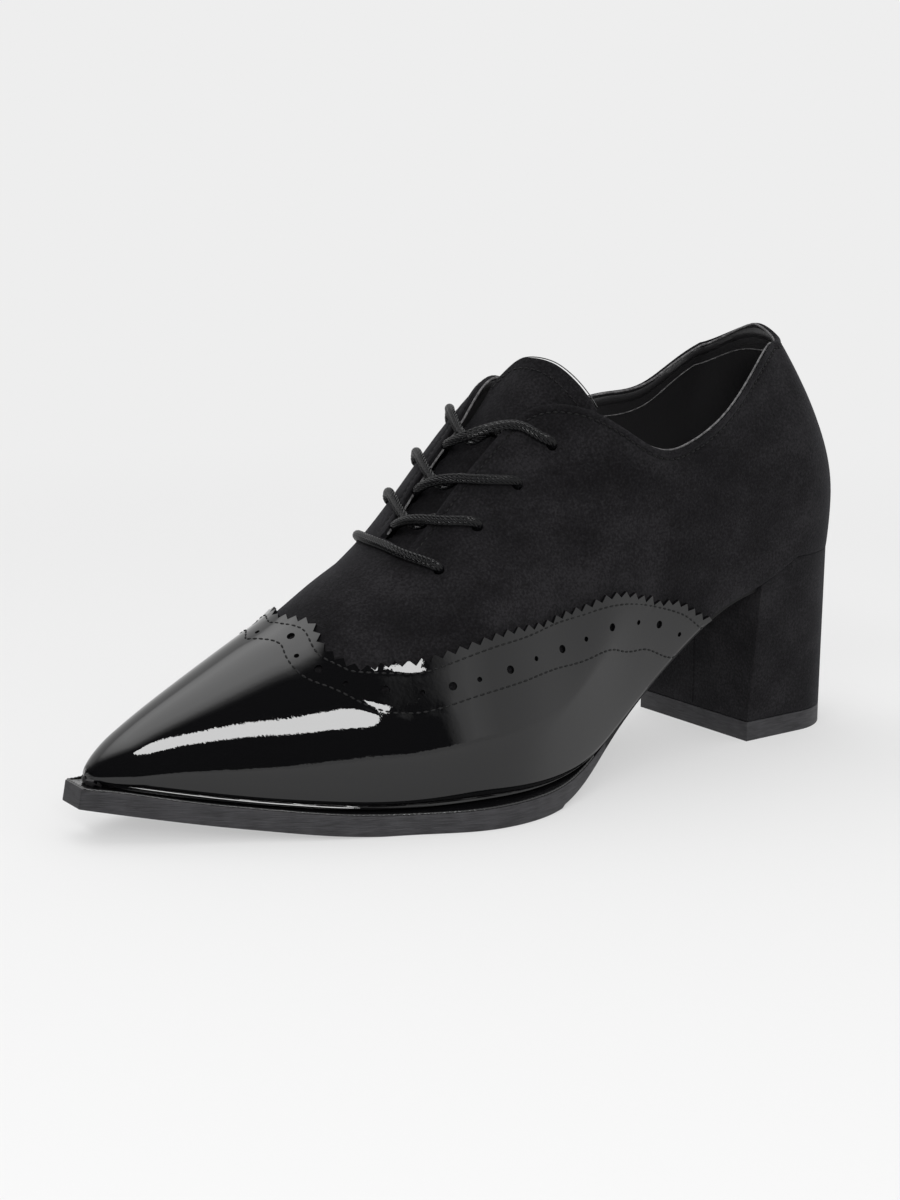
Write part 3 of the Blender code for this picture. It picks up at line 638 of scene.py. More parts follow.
LOWER_ROW = (
    (207.7, 0.0), (205.4, 9.0), (203.4, 19.0), (204.2, 27.9), (203.1, 40.5), (198.9, 49.2), (194.8, 55.8),
    (191.1, 61.0), (186.2, 65.0), (180.8, 67.0), (174.8, 68.0), (166.6, 68.2), (157.6, 68.5), (146.2, 68.9),
    (133.6, 70.7), (120.6, 80.0), (106.9, 99.4), (95.2, 119.8), (82.5, 159.0),
)
HOLES = (
    (204.4, 1.0), (200.1, 18.4), (202.0, 30.1), (199.0, 40.8), (194.4, 51.1), (185.4, 57.4), (176.5, 61.5),
    (168.5, 62.8), (161.1, 63.9), (151.5, 64.6), (141.8, 64.8), (131.1, 67.0), (121.4, 72.4), (110.9, 82.9),
    (99.2, 95.1), (90.1, 112.1), (81.0, 138.2),
)
TOOTH_PITCH, TOOTH_TIP, TOOTH_ROOT = 3.8, 0.95, -0.8
HOLE_LARGE, HOLE_SMALL, HOLE_SIDES, HOLE_MARGIN, HOLE_INSIDE = 1.2, 0.75, 14, 0.4, -0.06
HOLE_NEAR_X, HOLE_NEAR_ANGLE = 4, 14
FLAT_FROM, FLAT_X, FLAT_COLUMNS, FLAT_NEAR, INSIDE_ONLY, PROBE = 70, 1.5, 190, 1e-5, 1, 0.4
FOOT_ROWS = (0.4, 0.8, 1.2, 2.1, 2.6, 4.2)
FOOT_CELLS, NOSE_CELLS, FRONT_CELLS, EDGE_MARGIN, NOSE_MARGIN = 90, 14, 120, 2.0, 0.3
NOSE_NEAR, NOSE_END, RIDGE_LEAST = 0.35, 0.02, 0.5
NOSE_WAY = Vector((1, 0, 0.15)).normalized()


def cap_angle(x, angle):
    """Angle on the last of one of the cap's own; its lowest runs a rise above the feather line."""
    if angle <= 90:
        return angle
    rise = min(CAP_RISE / (last("wide", x) - last("feather", x)), CAP_SHARE)
    low = 90 * math.asin(math.sin(TUCK_TURN) * (1 - rise)) / TUCK_TURN
    return 90 + low * (angle - 90) / (WING_LOW - 90)


def twin(x, angle):
    """Medial angle at the height of a lateral one."""
    if angle >= 90:
        return angle
    level = dome(math.sin(math.radians(angle)), side_of(x, 1)[1])
    crown = side_of(x, -1)[1]
    low, high = 0.0, 90.0
    for _ in range(HALVINGS):
        middle = (low + high) / 2
        above = dome(math.sin(math.radians(middle)), crown) > level
        low, high = (middle, high) if above else (low, middle)
    return low


def cap_spot(x, angle):
    """Side and angle on the last of a place of the flat cap."""
    reach = cap_angle(x, abs(angle))
    return (1, reach) if angle >= 0 else (-1, twin(x, reach))


def cap_face(x, angle, lift=CAP_LIFT + CAP_WALL):
    """Point of the cap's outer face and the way that it faces."""
    side, reach = cap_spot(x, angle)
    face = NOSE_WAY
    if x < NOSE_X - NOSE_END:
        face = outward(min(x, NOSE_X - NOSE_NEAR), side, max(reach, RIDGE_LEAST))
    return Vector(surface(x, side, reach)) + face * lift, face


def cap_point(x, angle):
    return cap_face(x, angle)[0]


def flat_step(x, angle, way):
    """Change of x and angle on the flat cap that moves its point by way, in millimetres."""
    here = cap_point(x, angle)
    by_x = (cap_point(x + PROBE, angle) - here) / PROBE
    by_angle = (cap_point(x, angle + PROBE) - here) / PROBE
    shared = by_x.dot(by_angle)
    table = np.array([[by_x.dot(by_x), shared], [shared, by_angle.dot(by_angle)]])
    return np.linalg.solve(table, [by_x.dot(way), by_angle.dot(way)])


def below_share(x):
    """How much less the cap's face drops for a degree below the widest line than above it."""
    below = (last("wide", x) - last("feather", x)) * TUCK_TURN / math.sin(TUCK_TURN)
    above = (last("ridge_z", x) - last("wide", x)) * (1 - side_of(x, 1)[1]) * math.radians(1)
    reach = (cap_angle(x, 91) - 90) / 90
    return below * reach / above


def cap_line(rows):
    """Close spots of a smooth line on the flat cap through rows of one side, from low end to ridge."""
    levels = []
    for x, angle in reversed(rows):
        levels.append((x, angle if angle <= 90 else 90 + (angle - 90) * below_share(x)))
    spots = []
    for x, level in smooth_spots(levels):
        spots.append((x, level if level <= 90 else 90 + (level - 90) / below_share(x)))
    return spots


def both_sides(spots):
    """A line from the outer side over the ridge to the inner side."""
    return spots + [(x, -angle) for x, angle in reversed(spots[:-1])]


wing_line = both_sides(cap_line(WING))
rear_x = wing_line[0][0]
outline = []
for n, (_, along, (x, angle)) in enumerate(even_steps(wing_line, cap_point, TOOTH_PITCH / 2)):
    away = along.cross(cap_face(x, angle)[1]).normalized()
    off = flat_step(x, angle, away * (TOOTH_TIP if n % 2 else TOOTH_ROOT))
    outline.append((x + off[0], max(-WING_LOW, min(WING_LOW, angle + off[1]))))
outline[0] = (rear_x, WING_LOW)
outline[-1] = (rear_x, -WING_LOW)
nose_turns = [math.pi / 2 * i / NOSE_CELLS for i in range(NOSE_CELLS + 1)]
nose_x = [NOSE_START + (NOSE_X - NOSE_START) * math.sin(turn) for turn in nose_turns]
foot_x = [rear_x + (NOSE_START - rear_x) * i / FOOT_CELLS for i in range(1, FOOT_CELLS)] + nose_x
outline += [(x, -WING_LOW) for x in foot_x]
outline += [(NOSE_X, -WING_LOW + 2 * WING_LOW * i / FRONT_CELLS) for i in range(1, FRONT_CELLS)]
outline += [(x, WING_LOW) for x in reversed(foot_x)]
flat_points = [Vector((x, angle)) for x, angle in outline]
flat_edges = [(i, (i + 1) % len(outline)) for i in range(len(outline))]
holes = []
for n, (x, angle) in enumerate(HOLES):
    for side in (1, -1) if n else (1,):
        holes.append((x, side * angle, HOLE_LARGE if n % 2 else HOLE_SMALL))
rings = []
for x, angle, radius in holes:
    ring = []
    face = cap_face(x, angle)[1]
    along = (cap_point(x + PROBE, angle) - cap_point(x, angle)).normalized()
    for i in range(HOLE_SIDES):
        turn = 2 * math.pi * i / HOLE_SIDES
        way = along * math.cos(turn) * radius + face.cross(along) * math.sin(turn) * radius
        off = flat_step(x, angle, way)
        ring.append(Vector((x + off[0], angle + off[1])))
    start = len(flat_points)
    flat_points += ring
    flat_edges += [(start + i, start + (i + 1) % HOLE_SIDES) for i in range(HOLE_SIDES)]
    rings.append((x, angle, cap_point(x, angle), radius))


def inside_cap(x, angle):
    """True on the flat cap, off its edges."""
    reach = abs(angle)
    for (x0, a0), (x1, a1) in zip(WING, WING[1:]):
        if a0 <= reach <= a1:
            return x0 + (x1 - x0) * (reach - a0) / (a1 - a0) + EDGE_MARGIN < x < NOSE_X - NOSE_MARGIN
    return False


def near_hole(x, angle, margin):
    """True inside a hole widened by a margin in millimetres."""
    for hole_x, hole_angle, middle, radius in rings:
        if abs(hole_x - x) < HOLE_NEAR_X and abs(hole_angle - angle) < HOLE_NEAR_ANGLE:
            if (cap_point(x, angle) - middle).length < radius + margin:
                return True
    return False


columns = [WING_LOW * (2 * i / FLAT_COLUMNS - 1) for i in range(1, FLAT_COLUMNS)]
columns += [side * (WING_LOW - away) for side in (1, -1) for away in FOOT_ROWS]
x_stops = [FLAT_FROM + FLAT_X * i for i in range(int((NOSE_START - FLAT_FROM) / FLAT_X))]
for x in x_stops + nose_x[:-1]:
    for angle in columns:
        if inside_cap(x, angle) and not near_hole(x, angle, HOLE_MARGIN):
            flat_points.append(Vector((x, angle)))
flat_corners, _, flat_faces = delaunay_2d_cdt(flat_points, flat_edges, [], INSIDE_ONLY, FLAT_NEAR)[:3]

# The two rows pull the leather down: the band between them lies lower and flatter than the puffed toe. The
# lowest edge is rolled in over the sole, least at the waist.
SINK, DISH, GROOVE, PUCKER, PUCKER_WIDE, ROW_STEP = 0.07, 0.05, 0.06, 0.025, 1.4, 0.5
TOE_FADE, GROOVE_WIDE, TOOTH_LIFT, THREAD_PROUD, BAND_LEAST = 2.0, 0.7, 0.13, 0.02, 1e-6
ROLL_FROM, ROLL_FULL, ROLL_LEAST, ROLL_REACH, ROLL_RADIUS, ROLL_BELOW = 112.0, 160.0, 0.9, 2.6, 3.0, 100
row_lines = [both_sides(cap_line(row)) for row in (UPPER_ROW, LOWER_ROW)]
row_trees = []
for line in row_lines:
    steps = even_steps(line, cap_point, ROW_STEP)
    tree = KDTree(len(steps))
    for n, (point, _, _) in enumerate(steps):
        tree.insert(point, n)
    tree.balance()
    row_trees.append((tree, [cap_face(*spot)[1].cross(along) for _, along, spot in steps]))


def row_distance(point, row):
    """Distance from a row, positive towards the toe, and how far along the row that is."""
    tree, downs = row_trees[row]
    near, n, far = tree.find(point)
    return math.copysign(far, (point - near).dot(downs[n])), n * ROW_STEP


def sunk(x, angle, above=0.0):
    """Point of the cap's face as the rows of stitching leave it, with its face's way."""
    point = cap_point(x, angle)
    (past_upper, _), (past_lower, run) = row_distance(point, 0), row_distance(point, 1)
    pull = GROOVE * (bell(past_upper, GROOVE_WIDE) + bell(past_lower, GROOVE_WIDE))
    pull += PUCKER * math.sin(2 * math.pi * run / THREAD_PITCH) * bell(past_lower, PUCKER_WIDE)
    if past_lower > 0:
        pull += SINK * bell(past_lower, TOE_FADE)
    elif past_upper > 0:
        pull += SINK + DISH * math.sin(math.pi * past_upper / max(past_upper - past_lower, BAND_LEAST))
    else:
        pull += SINK + TOOTH_LIFT * past_upper
    reach = ROLL_LEAST + (ROLL_REACH - ROLL_LEAST) * part(x, ROLL_FROM, ROLL_FULL)
    short = reach - abs(point.z - surface(x, 1, cap_angle(x, WING_LOW))[2])
    if abs(angle) > ROLL_BELOW and short > 0:
        pull += ROLL_RADIUS - math.sqrt(ROLL_RADIUS**2 - short**2)
    return cap_face(x, angle, CAP_LIFT + CAP_WALL - pull + above)


shape = bmesh.new()
corners = [shape.verts.new(put(sunk(*spot)[0])) for spot in flat_corners]
for face in flat_faces:
    middle = sum((flat_corners[i] for i in face), Vector((0, 0))) / 3
    if not near_hole(*middle, HOLE_INSIDE):
        shape.faces.new([corners[i] for i in face])
bmesh.ops.delete(shape, geom=[v for v in shape.verts if not v.link_faces], context="VERTS")
bmesh.ops.remove_doubles(shape, verts=shape.verts, dist=CAP_SAME_PLACE)
bmesh.ops.dissolve_degenerate(shape, edges=shape.edges, dist=CAP_LEAST)
bmesh.ops.recalc_face_normals(shape, faces=shape.faces)
patent = finish("patent", (0.003, 0.003, 0.0034), roughness=0.5, Specular_IOR_Level=0.0, Coat_Weight=1.0,
                Coat_Roughness=0.015, Coat_IOR=1.52)
relief(patent, noise(patent, size=7, detail=2), depth=0.05, strength=0.4)
relief(patent, noise(patent, size=0.9, detail=2), depth=0.012, strength=0.5)
shader = patent.node_tree.nodes["Principled BSDF"]
patent.node_tree.links.new(shader.inputs["Normal"].links[0].from_socket, shader.inputs["Coat Normal"])
wing = piece("patent_wing", shape, patent)
thicken(wing, CAP_WALL)
settle(wing, sharp=50)
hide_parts("wing_cap")
rows = []
for line in row_lines:
    places = even_steps(line, cap_point, THREAD_PITCH)
    rows.append([(sunk(x, a, THREAD_PROUD)[0], along, cap_face(x, a)[1]) for _, along, (x, a) in places])
sew("wing_stitching", rows)

# Tongue: a flap of suede over lining, sewn below the throat, that lies under the lace. Its stitched top
# stands free above the lace, with the lining's edge just showing; TONGUE holds y and x of that top edge.
TONGUE_THICK, TONGUE_FOOT_X, TONGUE_FOOT_HALF, TONGUE_FOOT_Y = 1.8, 177.0, 12.0, 2.0
TONGUE_LENGTH_CELLS, TONGUE_WIDTH_CELLS, TONGUE_ROUND = 60, 36, 0.5
FOOT_DEPTH, LACE_DEPTH, TOP_DEPTH = 2.1, 4.8, 2.7
LACE_FROM, LACE_TO = 0.16, 0.78
RIM_AT, RIM_FROM, RIM_WIDE, RIM_CELLS = 0.955, 0.06, 0.88, 12
RIM_FACE = Vector((-0.5, 0, 0.86))
BRIM_AT, BRIM_FROM, BRIM_WIDE, BRIM_CELLS, BRIM_IN, BRIM_RADIUS = 1.0075, 0.12, 0.87, 14, 0.5, 0.17
TONGUE = (
    (-11.0, 121.5), (-9.4, 117.6), (-6.8, 115.3), (-3.0, 114.2), (2.0, 112.4), (6.6, 110.2), (11.0, 108.1),
    (15.6, 105.8), (20.4, 103.4),
)
TONGUE_CUBICS = [natural_cubic(range(len(TONGUE)), column) for column in zip(*TONGUE)]


def tongue_depth(share):
    """Depth of the tongue below the last's face, at a share of its length."""
    if share < LACE_FROM:
        return FOOT_DEPTH + (LACE_DEPTH - FOOT_DEPTH) * math.sin(math.pi / 2 * share / LACE_FROM)
    return LACE_DEPTH + (TOP_DEPTH - LACE_DEPTH) * part(share, LACE_TO, 1) ** 2


def height(x, y):
    """Top of the last over a point of its plan."""
    ridge_y, wide = last("ridge_y", x), last("wide", x)
    wide_y, crown, _ = side_of(x, 1 if y >= ridge_y else -1)
    return wide + (last("ridge_z", x) - wide) * dome((y - ridge_y) / (wide_y - ridge_y), crown)


def under(x, y, depth):
    """Point a depth inside the last, square to its face."""
    step = 0.5
    slope_x = (height(x + step, y) - height(x - step, y)) / (2 * step)
    slope_y = (height(x, y + step) - height(x, y - step)) / (2 * step)
    face = Vector((-slope_x, -slope_y, 1)).normalized()
    return Vector((x, y, height(x, y))) - face * depth


def tongue_place(u, v, inner=0.0):
    """Point of the tongue, from foot (u 0) to top (1) and from inner side (v 0) to outer side (1)."""
    place = v * (len(TONGUE) - 1)
    top_y, top_x = (at(column, place) for column in TONGUE_CUBICS)
    foot_y = TONGUE_FOOT_Y + TONGUE_FOOT_HALF * (2 * v - 1)
    x = TONGUE_FOOT_X + (top_x - TONGUE_FOOT_X) * u
    return under(x, foot_y + (top_y - foot_y) * u, tongue_depth(min(u, 1)) + inner)


def face_up(shape):
    """Turns a sheet's faces up."""
    join_up(shape)
    if sum(face.normal.z for face in shape.faces) < 0:
        bmesh.ops.reverse_faces(shape, faces=shape.faces)


shape = bmesh.new()
lay(shape, TONGUE_LENGTH_CELLS, TONGUE_WIDTH_CELLS, tongue_place)
face_up(shape)
tongue = piece("suede_tongue", shape, suede, lining)
thicken(tongue, TONGUE_THICK, inner_paint=1)
round_edges(tongue, TONGUE_ROUND)
settle(tongue)
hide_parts("tongue")
rim = [(RIM_AT, RIM_FROM + RIM_WIDE * i / RIM_CELLS) for i in range(RIM_CELLS + 1)]
rim_steps = steps_along(rim, tongue_place, THREAD_PITCH)
sew("tongue_stitching", [[(point, along, RIM_FACE) for point, along, _ in rim_steps]])
brim = [(BRIM_AT, BRIM_FROM + BRIM_WIDE * i / BRIM_CELLS) for i in range(BRIM_CELLS + 1)]
brim_steps = steps_along(brim, lambda u, v: tongue_place(u, v, BRIM_IN), TRIM_STEP)
shape = bmesh.new()
tube(shape, [point for point, _, _ in brim_steps], TRIM_SIDES, lambda n, turn: BRIM_RADIUS)
tongue_trim = piece("tongue_lining_edge", shape, lining)
settle(tongue_trim, sharp=60)

# Lace: one round waxed braid. It starts inside at the top outer eyelet, goes over the tongue, under the
# other facing and up through its next eyelet, over the bar at the throat and back, to the top inner eyelet.
# A row of CROSSINGS is the x and angle of a strand's bend, those of the crossing, and the x where it dives.
LACE_RADIUS, LACE_CLEAR, BRAID_DEEP, BRAID_MEAN = 1.38, 0.15, 0.42, 0.8
REST, DIVE, OVER, BELOW, RUN_UNDER = LACE_RADIUS + LACE_CLEAR, -0.6, 2.0, -0.8, -3.35
BRAID_CELL, BRAID_STRANDS, RING_SIDES, RING_STEP = 1.2, 6, 36, 0.3
KNOT_POWER, LACE_FINE = 0.6, 4000
EYELET_PATH = ((0.2, RUN_UNDER), (-0.05, -1.3), (-0.5, 0.5))
DIVE_ANGLE, DIVE_ON, DIVE_END = 1.0, 0.6, -9.0
START_ON, START_SHARE, MIDDLE_SHARE = 0.4, 0.85, 0.4
SLIP_ANGLE, SLIP_BACK, SLIP_DEEP = 2.4, 2.2, -2.7
HIDE_ANGLE, HIDE_BACK, HIDE_PAST = 6, 2.0, 4
CROSSINGS = (
    (126.5, 20.5, 137.6, 10.0, 141.2),
    (141.5, 22.0, 148.8, 10.8, 152.2),
    (154.0, 20.5, 158.6, 10.4, 160.8),
)
BAR = ((165.2, 18.5), (167.0, 8.0), (167.0, -4.0), (165.4, -17.0))


def eyelet(row, side, rising):
    """Stops through one eyelet, from below the facing to above it or back."""
    outer_x, outer, inner_x, inner = EYELETS[row]
    x, angle = (outer_x, outer) if side > 0 else (inner_x, -inner)
    stops = [(x, angle + side * aside, lift) for aside, lift in EYELET_PATH]
    return stops if rising else stops[::-1]


def over_strand(row):
    """From the outer eyelet of a row, over the other strand, to below the inner facing."""
    bend_x, bend_angle, cross_x, cross_angle, dive_x = CROSSINGS[row]
    x, angle = EYELETS[row][:2]
    return [((x * 2 + bend_x) / 3, (angle * 2 + bend_angle) / 3, REST), (bend_x, bend_angle, REST),
            (cross_x, cross_angle, OVER), (dive_x, DIVE_ANGLE, DIVE),
            (dive_x + DIVE_ON, DIVE_END, RUN_UNDER)]


def under_strand(row):
    """From the inner eyelet of a row, under the other strand, to below the outer facing."""
    bend_x, bend_angle, cross_x, cross_angle, _ = CROSSINGS[row]
    inner_x, inner = EYELETS[row][2:]
    slope = (bend_x - cross_x) / (bend_angle - cross_angle)
    edge = side_of(cross_x, 1)[2]
    return [(inner_x + START_ON, -inner * START_SHARE, REST),
            ((inner_x + cross_x) / 2, -inner * MIDDLE_SHARE, REST), (cross_x, cross_angle, BELOW),
            (cross_x + slope * SLIP_ANGLE - SLIP_BACK, cross_angle + SLIP_ANGLE, SLIP_DEEP),
            (cross_x + slope * HIDE_ANGLE - HIDE_BACK, edge + HIDE_PAST, RUN_UNDER)]


route = eyelet(0, 1, True) + over_strand(0) + eyelet(1, -1, True) + under_strand(1) + eyelet(2, 1, True)
route += over_strand(2) + eyelet(3, -1, True) + [(x, angle, REST) for x, angle in reversed(BAR)]
route += eyelet(3, 1, False) + under_strand(2)[::-1] + eyelet(2, -1, False) + over_strand(1)[::-1]
route += eyelet(1, 1, False) + under_strand(0)[::-1] + eyelet(0, -1, False)
corners = [lifted(*stop) for stop in route]
lengths = [0.0]
for a, b in zip(corners, corners[1:]):
    lengths.append(lengths[-1] + (b - a).length ** KNOT_POWER)
lace_curve = [natural_cubic(lengths, column) for column in zip(*corners)]
marks = [lengths[-1] * i / LACE_FINE for i in range(LACE_FINE + 1)]
fine = [Vector([at(column, mark) for column in lace_curve]) for mark in marks]
ring_points, gone = [fine[0]], 0.0
for a, b in zip(fine, fine[1:]):
    gone += (b - a).length
    if gone >= RING_STEP:
        ring_points.append(b)
        gone = 0.0


def braid(n, turn):
    """Radius of the braid: two sets of strands cross, each over and under the other by turns."""
    first = BRAID_STRANDS * turn + math.pi * n * RING_STEP / BRAID_CELL
    second = BRAID_STRANDS * turn - math.pi * n * RING_STEP / BRAID_CELL
    on_top = (math.floor(first / math.pi) + math.floor(second / math.pi)) % 2
    return LACE_RADIUS + BRAID_DEEP * (abs(math.sin(first if on_top else second)) - BRAID_MEAN)


shape = bmesh.new()
tube(shape, ring_points, RING_SIDES, braid)
waxed = finish("waxed_braid", (0.0035, 0.0035, 0.004), roughness=0.2, Specular_IOR_Level=0.25)
relief(waxed, noise(waxed, size=0.22, detail=2), depth=0.05, strength=0.7)
lace = piece("waxed_lace", shape, waxed)
settle(lace, sharp=60)
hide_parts("lace_cross_1", "lace_cross_2", "lace_cross_3", "lace_bar")

# Outsole: dark grey rubber, cemented below the upper, with a ledge round the forefoot. Its edge is brushed
# along its length; the ledge's top is inked a shining black and edged with a bead, and the waist inked dull.
TIP_X, SOLE_REAR, FLAT_REAR, FLAT_FRONT = 261.2, 45.8, 146.0, 190.0
TOE_SPRING, SPRING_POWER, TIP_TOP, TIP_LEAN, NOSE_CLEAR = 9.8, 1.36, 15.6, 1.2, 0.5
PAD_X, PAD_STEP, GAP = 135.0, 0.7, 0.3
SOLE_CELLS, FACE_CELLS, EDGE_CELLS, SOLE_ROUND, CORNER = 150, 10, 4, 0.45, 50
INK_TO, INK_FACING, WAIST_FACING = 112.0, 0.6, -0.78
SOLE_COLUMNS = ("x", "lateral", "medial")
SOLE = (
    (45.0, 28.8, -28.2), (60.0, 29.2, -27.6), (75.0, 29.4, -26.4), (90.0, 30.0, -25.0),
    (104.0, 32.8, -24.4), (116.0, 37.4, -25.4), (126.0, 42.0, -27.4), (136.0, 46.4, -29.9),
    (146.0, 49.4, -32.5), (157.0, 50.2, -34.9), (167.0, 48.2, -36.1), (182.0, 41.0, -36.2),
    (193.0, 36.0, -35.0), (205.0, 30.2, -32.8), (217.5, 22.4, -30.1), (229.0, 15.4, -27.0),
    (245.0, 5.1, -22.2), (261.2, -5.7, -16.2),
)
WAIST_COLUMNS = ("x", "bottom")
WAIST = (
    (45.0, 49.4), (56.0, 46.6), (66.0, 42.0), (75.0, 36.2), (84.0, 29.8), (94.0, 22.6), (104.0, 15.8),
    (113.0, 10.0), (120.0, 6.0), (128.0, 2.8), (136.0, 1.0), (146.0, 0.0),
)
SOLE_CUBICS = splines(SOLE_COLUMNS, SOLE)
WAIST_CUBICS = splines(WAIST_COLUMNS, WAIST)


def sole_bottom(x):
    if x < PAD_X:
        return at(WAIST_CUBICS["bottom"], x)
    if x < FLAT_REAR:
        return (at(WAIST_CUBICS["bottom"], PAD_X) - PAD_STEP) * ((FLAT_REAR - x) / (FLAT_REAR - PAD_X)) ** 2
    return TOE_SPRING * part(x, FLAT_FRONT, TIP_X) ** SPRING_POWER


def sole_top(x):
    nose = last("feather", min(x, NOSE_X)) - GAP - NOSE_CLEAR * (1 - nose_round(x))
    return nose + (TIP_TOP - nose) * part(x, NOSE_X, TIP_X)


def sole_section(u, across, level):
    """Point of the sole's section at u."""
    x = SOLE_REAR + (TIP_X - SOLE_REAR) * u
    outer, inner = at(SOLE_CUBICS["lateral"], x), at(SOLE_CUBICS["medial"], x)
    low, top = sole_bottom(x), sole_top(x)
    lean = TIP_LEAN * part(x, NOSE_X, TIP_X)
    return x - lean * level, outer + (inner - outer) * across, low + (top - low) * level


def block(cells, sides, lids, section, rounding, segments=2):
    """A closed body with rounded edges from section(u, across, level): u runs along it, across from 0 on the
    outer side to 1 on the inner, and level from 0 below to 1 on top."""
    ring = 2 * (sides + lids)

    def place(u, v):
        i = round(v * ring) % ring
        if i < sides:
            return section(u, 0, i / sides)
        if i < sides + lids:
            return section(u, (i - sides) / lids, 1)
        if i < 2 * sides + lids:
            return section(u, 1, 1 - (i - sides - lids) / sides)
        return section(u, 1 - (i - 2 * sides - lids) / lids, 0)

    shape = bmesh.new()
    lay(shape, cells, ring, place)
    join_up(shape, fill=True)
    sharp = [edge for edge in shape.edges if edge.calc_face_angle(0) > math.radians(CORNER)]
    bmesh.ops.bevel(shape, geom=sharp, offset=rounding * MM, offset_type="OFFSET", affect="EDGES",
                    segments=segments, profile=0.5, material=-1, clamp_overlap=True)
    bmesh.ops.recalc_face_normals(shape, faces=shape.faces)
    return shape


rubber = finish("sole_rubber", (0.043, 0.042, 0.047), roughness=0.6, Specular_IOR_Level=0.4)
brushed = noise(rubber, size=0.45, detail=3, stretch=(0.09, 0.09, 1.0))
patches = mixed(rubber, noise(rubber, size=6, detail=3), brushed, share=0.6)
shades(rubber, patches, (0.35, (0.0125, 0.0122, 0.0138)), (0.65, (0.036, 0.0352, 0.039)))
relief(rubber, brushed, depth=0.22, strength=0.9)
inked = finish("inked_ledge", (0.004, 0.004, 0.0045), roughness=0.2, Specular_IOR_Level=0.7)
relief(inked, noise(inked, size=1.1, detail=2), depth=0.25, strength=0.8)
waist_ink = finish("waist_ink", (0.004, 0.004, 0.0045), roughness=0.6, Specular_IOR_Level=0.2)
relief(waist_ink, noise(waist_ink, size=0.7, detail=3), depth=0.1, strength=0.6)
shape = block(SOLE_CELLS, EDGE_CELLS, FACE_CELLS, sole_section, SOLE_ROUND)
sole = piece("ledge_sole", shape, rubber, inked, waist_ink)
for polygon in sole.data.polygons:
    if polygon.normal.z > WAIST_FACING and polygon.center.x < put((INK_TO, 0, 0)).x:
        polygon.material_index = 2
    elif polygon.normal.z > INK_FACING:
        polygon.material_index = 1
settle(sole, sharp=35)
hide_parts("outsole")
BEAD, BEAD_IN, BEAD_PITCH, BEAD_FROM, BEAD_SIDES = 0.42, 0.75, 1.4, 118.0, 8
BEAD_SHORT, BEAD_CELLS, BEAD_STEP, BEAD_LIFT, BEAD_SWELL = 1.2, 60, 0.35, 0.05, 0.28
bead_end = TIP_X - BEAD_IN - BEAD_SHORT
bead_x = [BEAD_FROM + (bead_end - BEAD_FROM) * i / BEAD_CELLS for i in range(BEAD_CELLS + 1)]
bead_line = []
for name, inset, xs in (("lateral", -BEAD_IN, bead_x), ("medial", BEAD_IN, bead_x[::-1])):
    bead_line += [(x, at(SOLE_CUBICS[name], x) + inset, sole_top(x) + BEAD_LIFT) for x in xs]
bead_steps = even_steps(bead_line, lambda x, y, z: (x, y, z), BEAD_STEP)


def bead_radius(n, turn):
    """Radius of the bead, swelling and shrinking once for each pitch."""
    return BEAD * (1 - BEAD_SWELL + BEAD_SWELL * abs(math.sin(math.pi * n * BEAD_STEP / BEAD_PITCH)))


shape = bmesh.new()
tube(shape, [point for point, _, _ in bead_steps], BEAD_SIDES, bead_radius)
bead = piece("ledge_bead", shape, inked)
settle(bead, sharp=60)

# Heel: a moulded block covered in the upper's suede, which is drawn round it and closed by one seam down the
# breast. It is nailed and cemented under the seat.
LIFT_HEIGHT, LIFT_HALF, LIFT_ROUND, BREAST_X = 6.2, 25.7, 21.8, 45.4
SEAT_INSET, HEEL_TOP_X, HEEL_START, HEEL_ROUND = 0.2, -0.1, 0.006, 0.8
HEEL_CELLS, LEVEL_CELLS, LID_CELLS = 40, 14, 8
SEAM_WIDE, SEAM_HIGH, SEAM_FOOT, SEAM_HEAD, SEAM_SIDES = 0.5, 0.22, 1.0, 1.5, 8


def ellipse_half(depth, half, x):
    """Half width at x of a back that is a half ellipse of that depth, then straight."""
    return half * math.sqrt(1 - part(x, depth, 0) ** 2)


def seat_half(x, side, inset):
    """Distance of the feather line from the middle at x, less an inset all round."""
    outer = abs(surface(max(x, FAN_X), side, 180)[1]) - inset
    start = at(BACK_CUBICS["x"], SEAT_BACK) + inset
    return ellipse_half(FAN_X - start, outer, x - start)


def seat_height(x):
    """Height of the feather line at x, the seat included."""
    if x >= FAN_X:
        return last("feather", x)
    across = seat_half(x, 1, 0) / seat_half(FAN_X, 1, 0)
    return last("feather", FAN_X) * across + SEAT_BACK * (1 - across)


def heel_share(u):
    """Place from the heel's back to its breast, closer together round the back."""
    return HEEL_START + (1 - HEEL_START) * (1 - math.cos(math.pi / 2 * u))


def heel_edge(share, side, level):
    """Point of the block's side, from the top-lift's outline (level 0) to the seat's (1)."""
    low_x = share * BREAST_X
    low = (low_x, side * ellipse_half(LIFT_ROUND, LIFT_HALF, low_x), LIFT_HEIGHT + GAP)
    top_x = HEEL_TOP_X + share * (BREAST_X - HEEL_TOP_X)
    widest = seat_half(max(top_x, FAN_X), side, SEAT_INSET)
    half = ellipse_half(FAN_X - HEEL_TOP_X, widest, top_x - HEEL_TOP_X)
    top = (top_x, side * half, seat_height(top_x) - GAP)
    return Vector(low).lerp(Vector(top), level)


def heel_section(u, across, level):
    """Point of the block's section at u."""
    share = heel_share(u)
    return heel_edge(share, 1, level).lerp(heel_edge(share, -1, level), across)


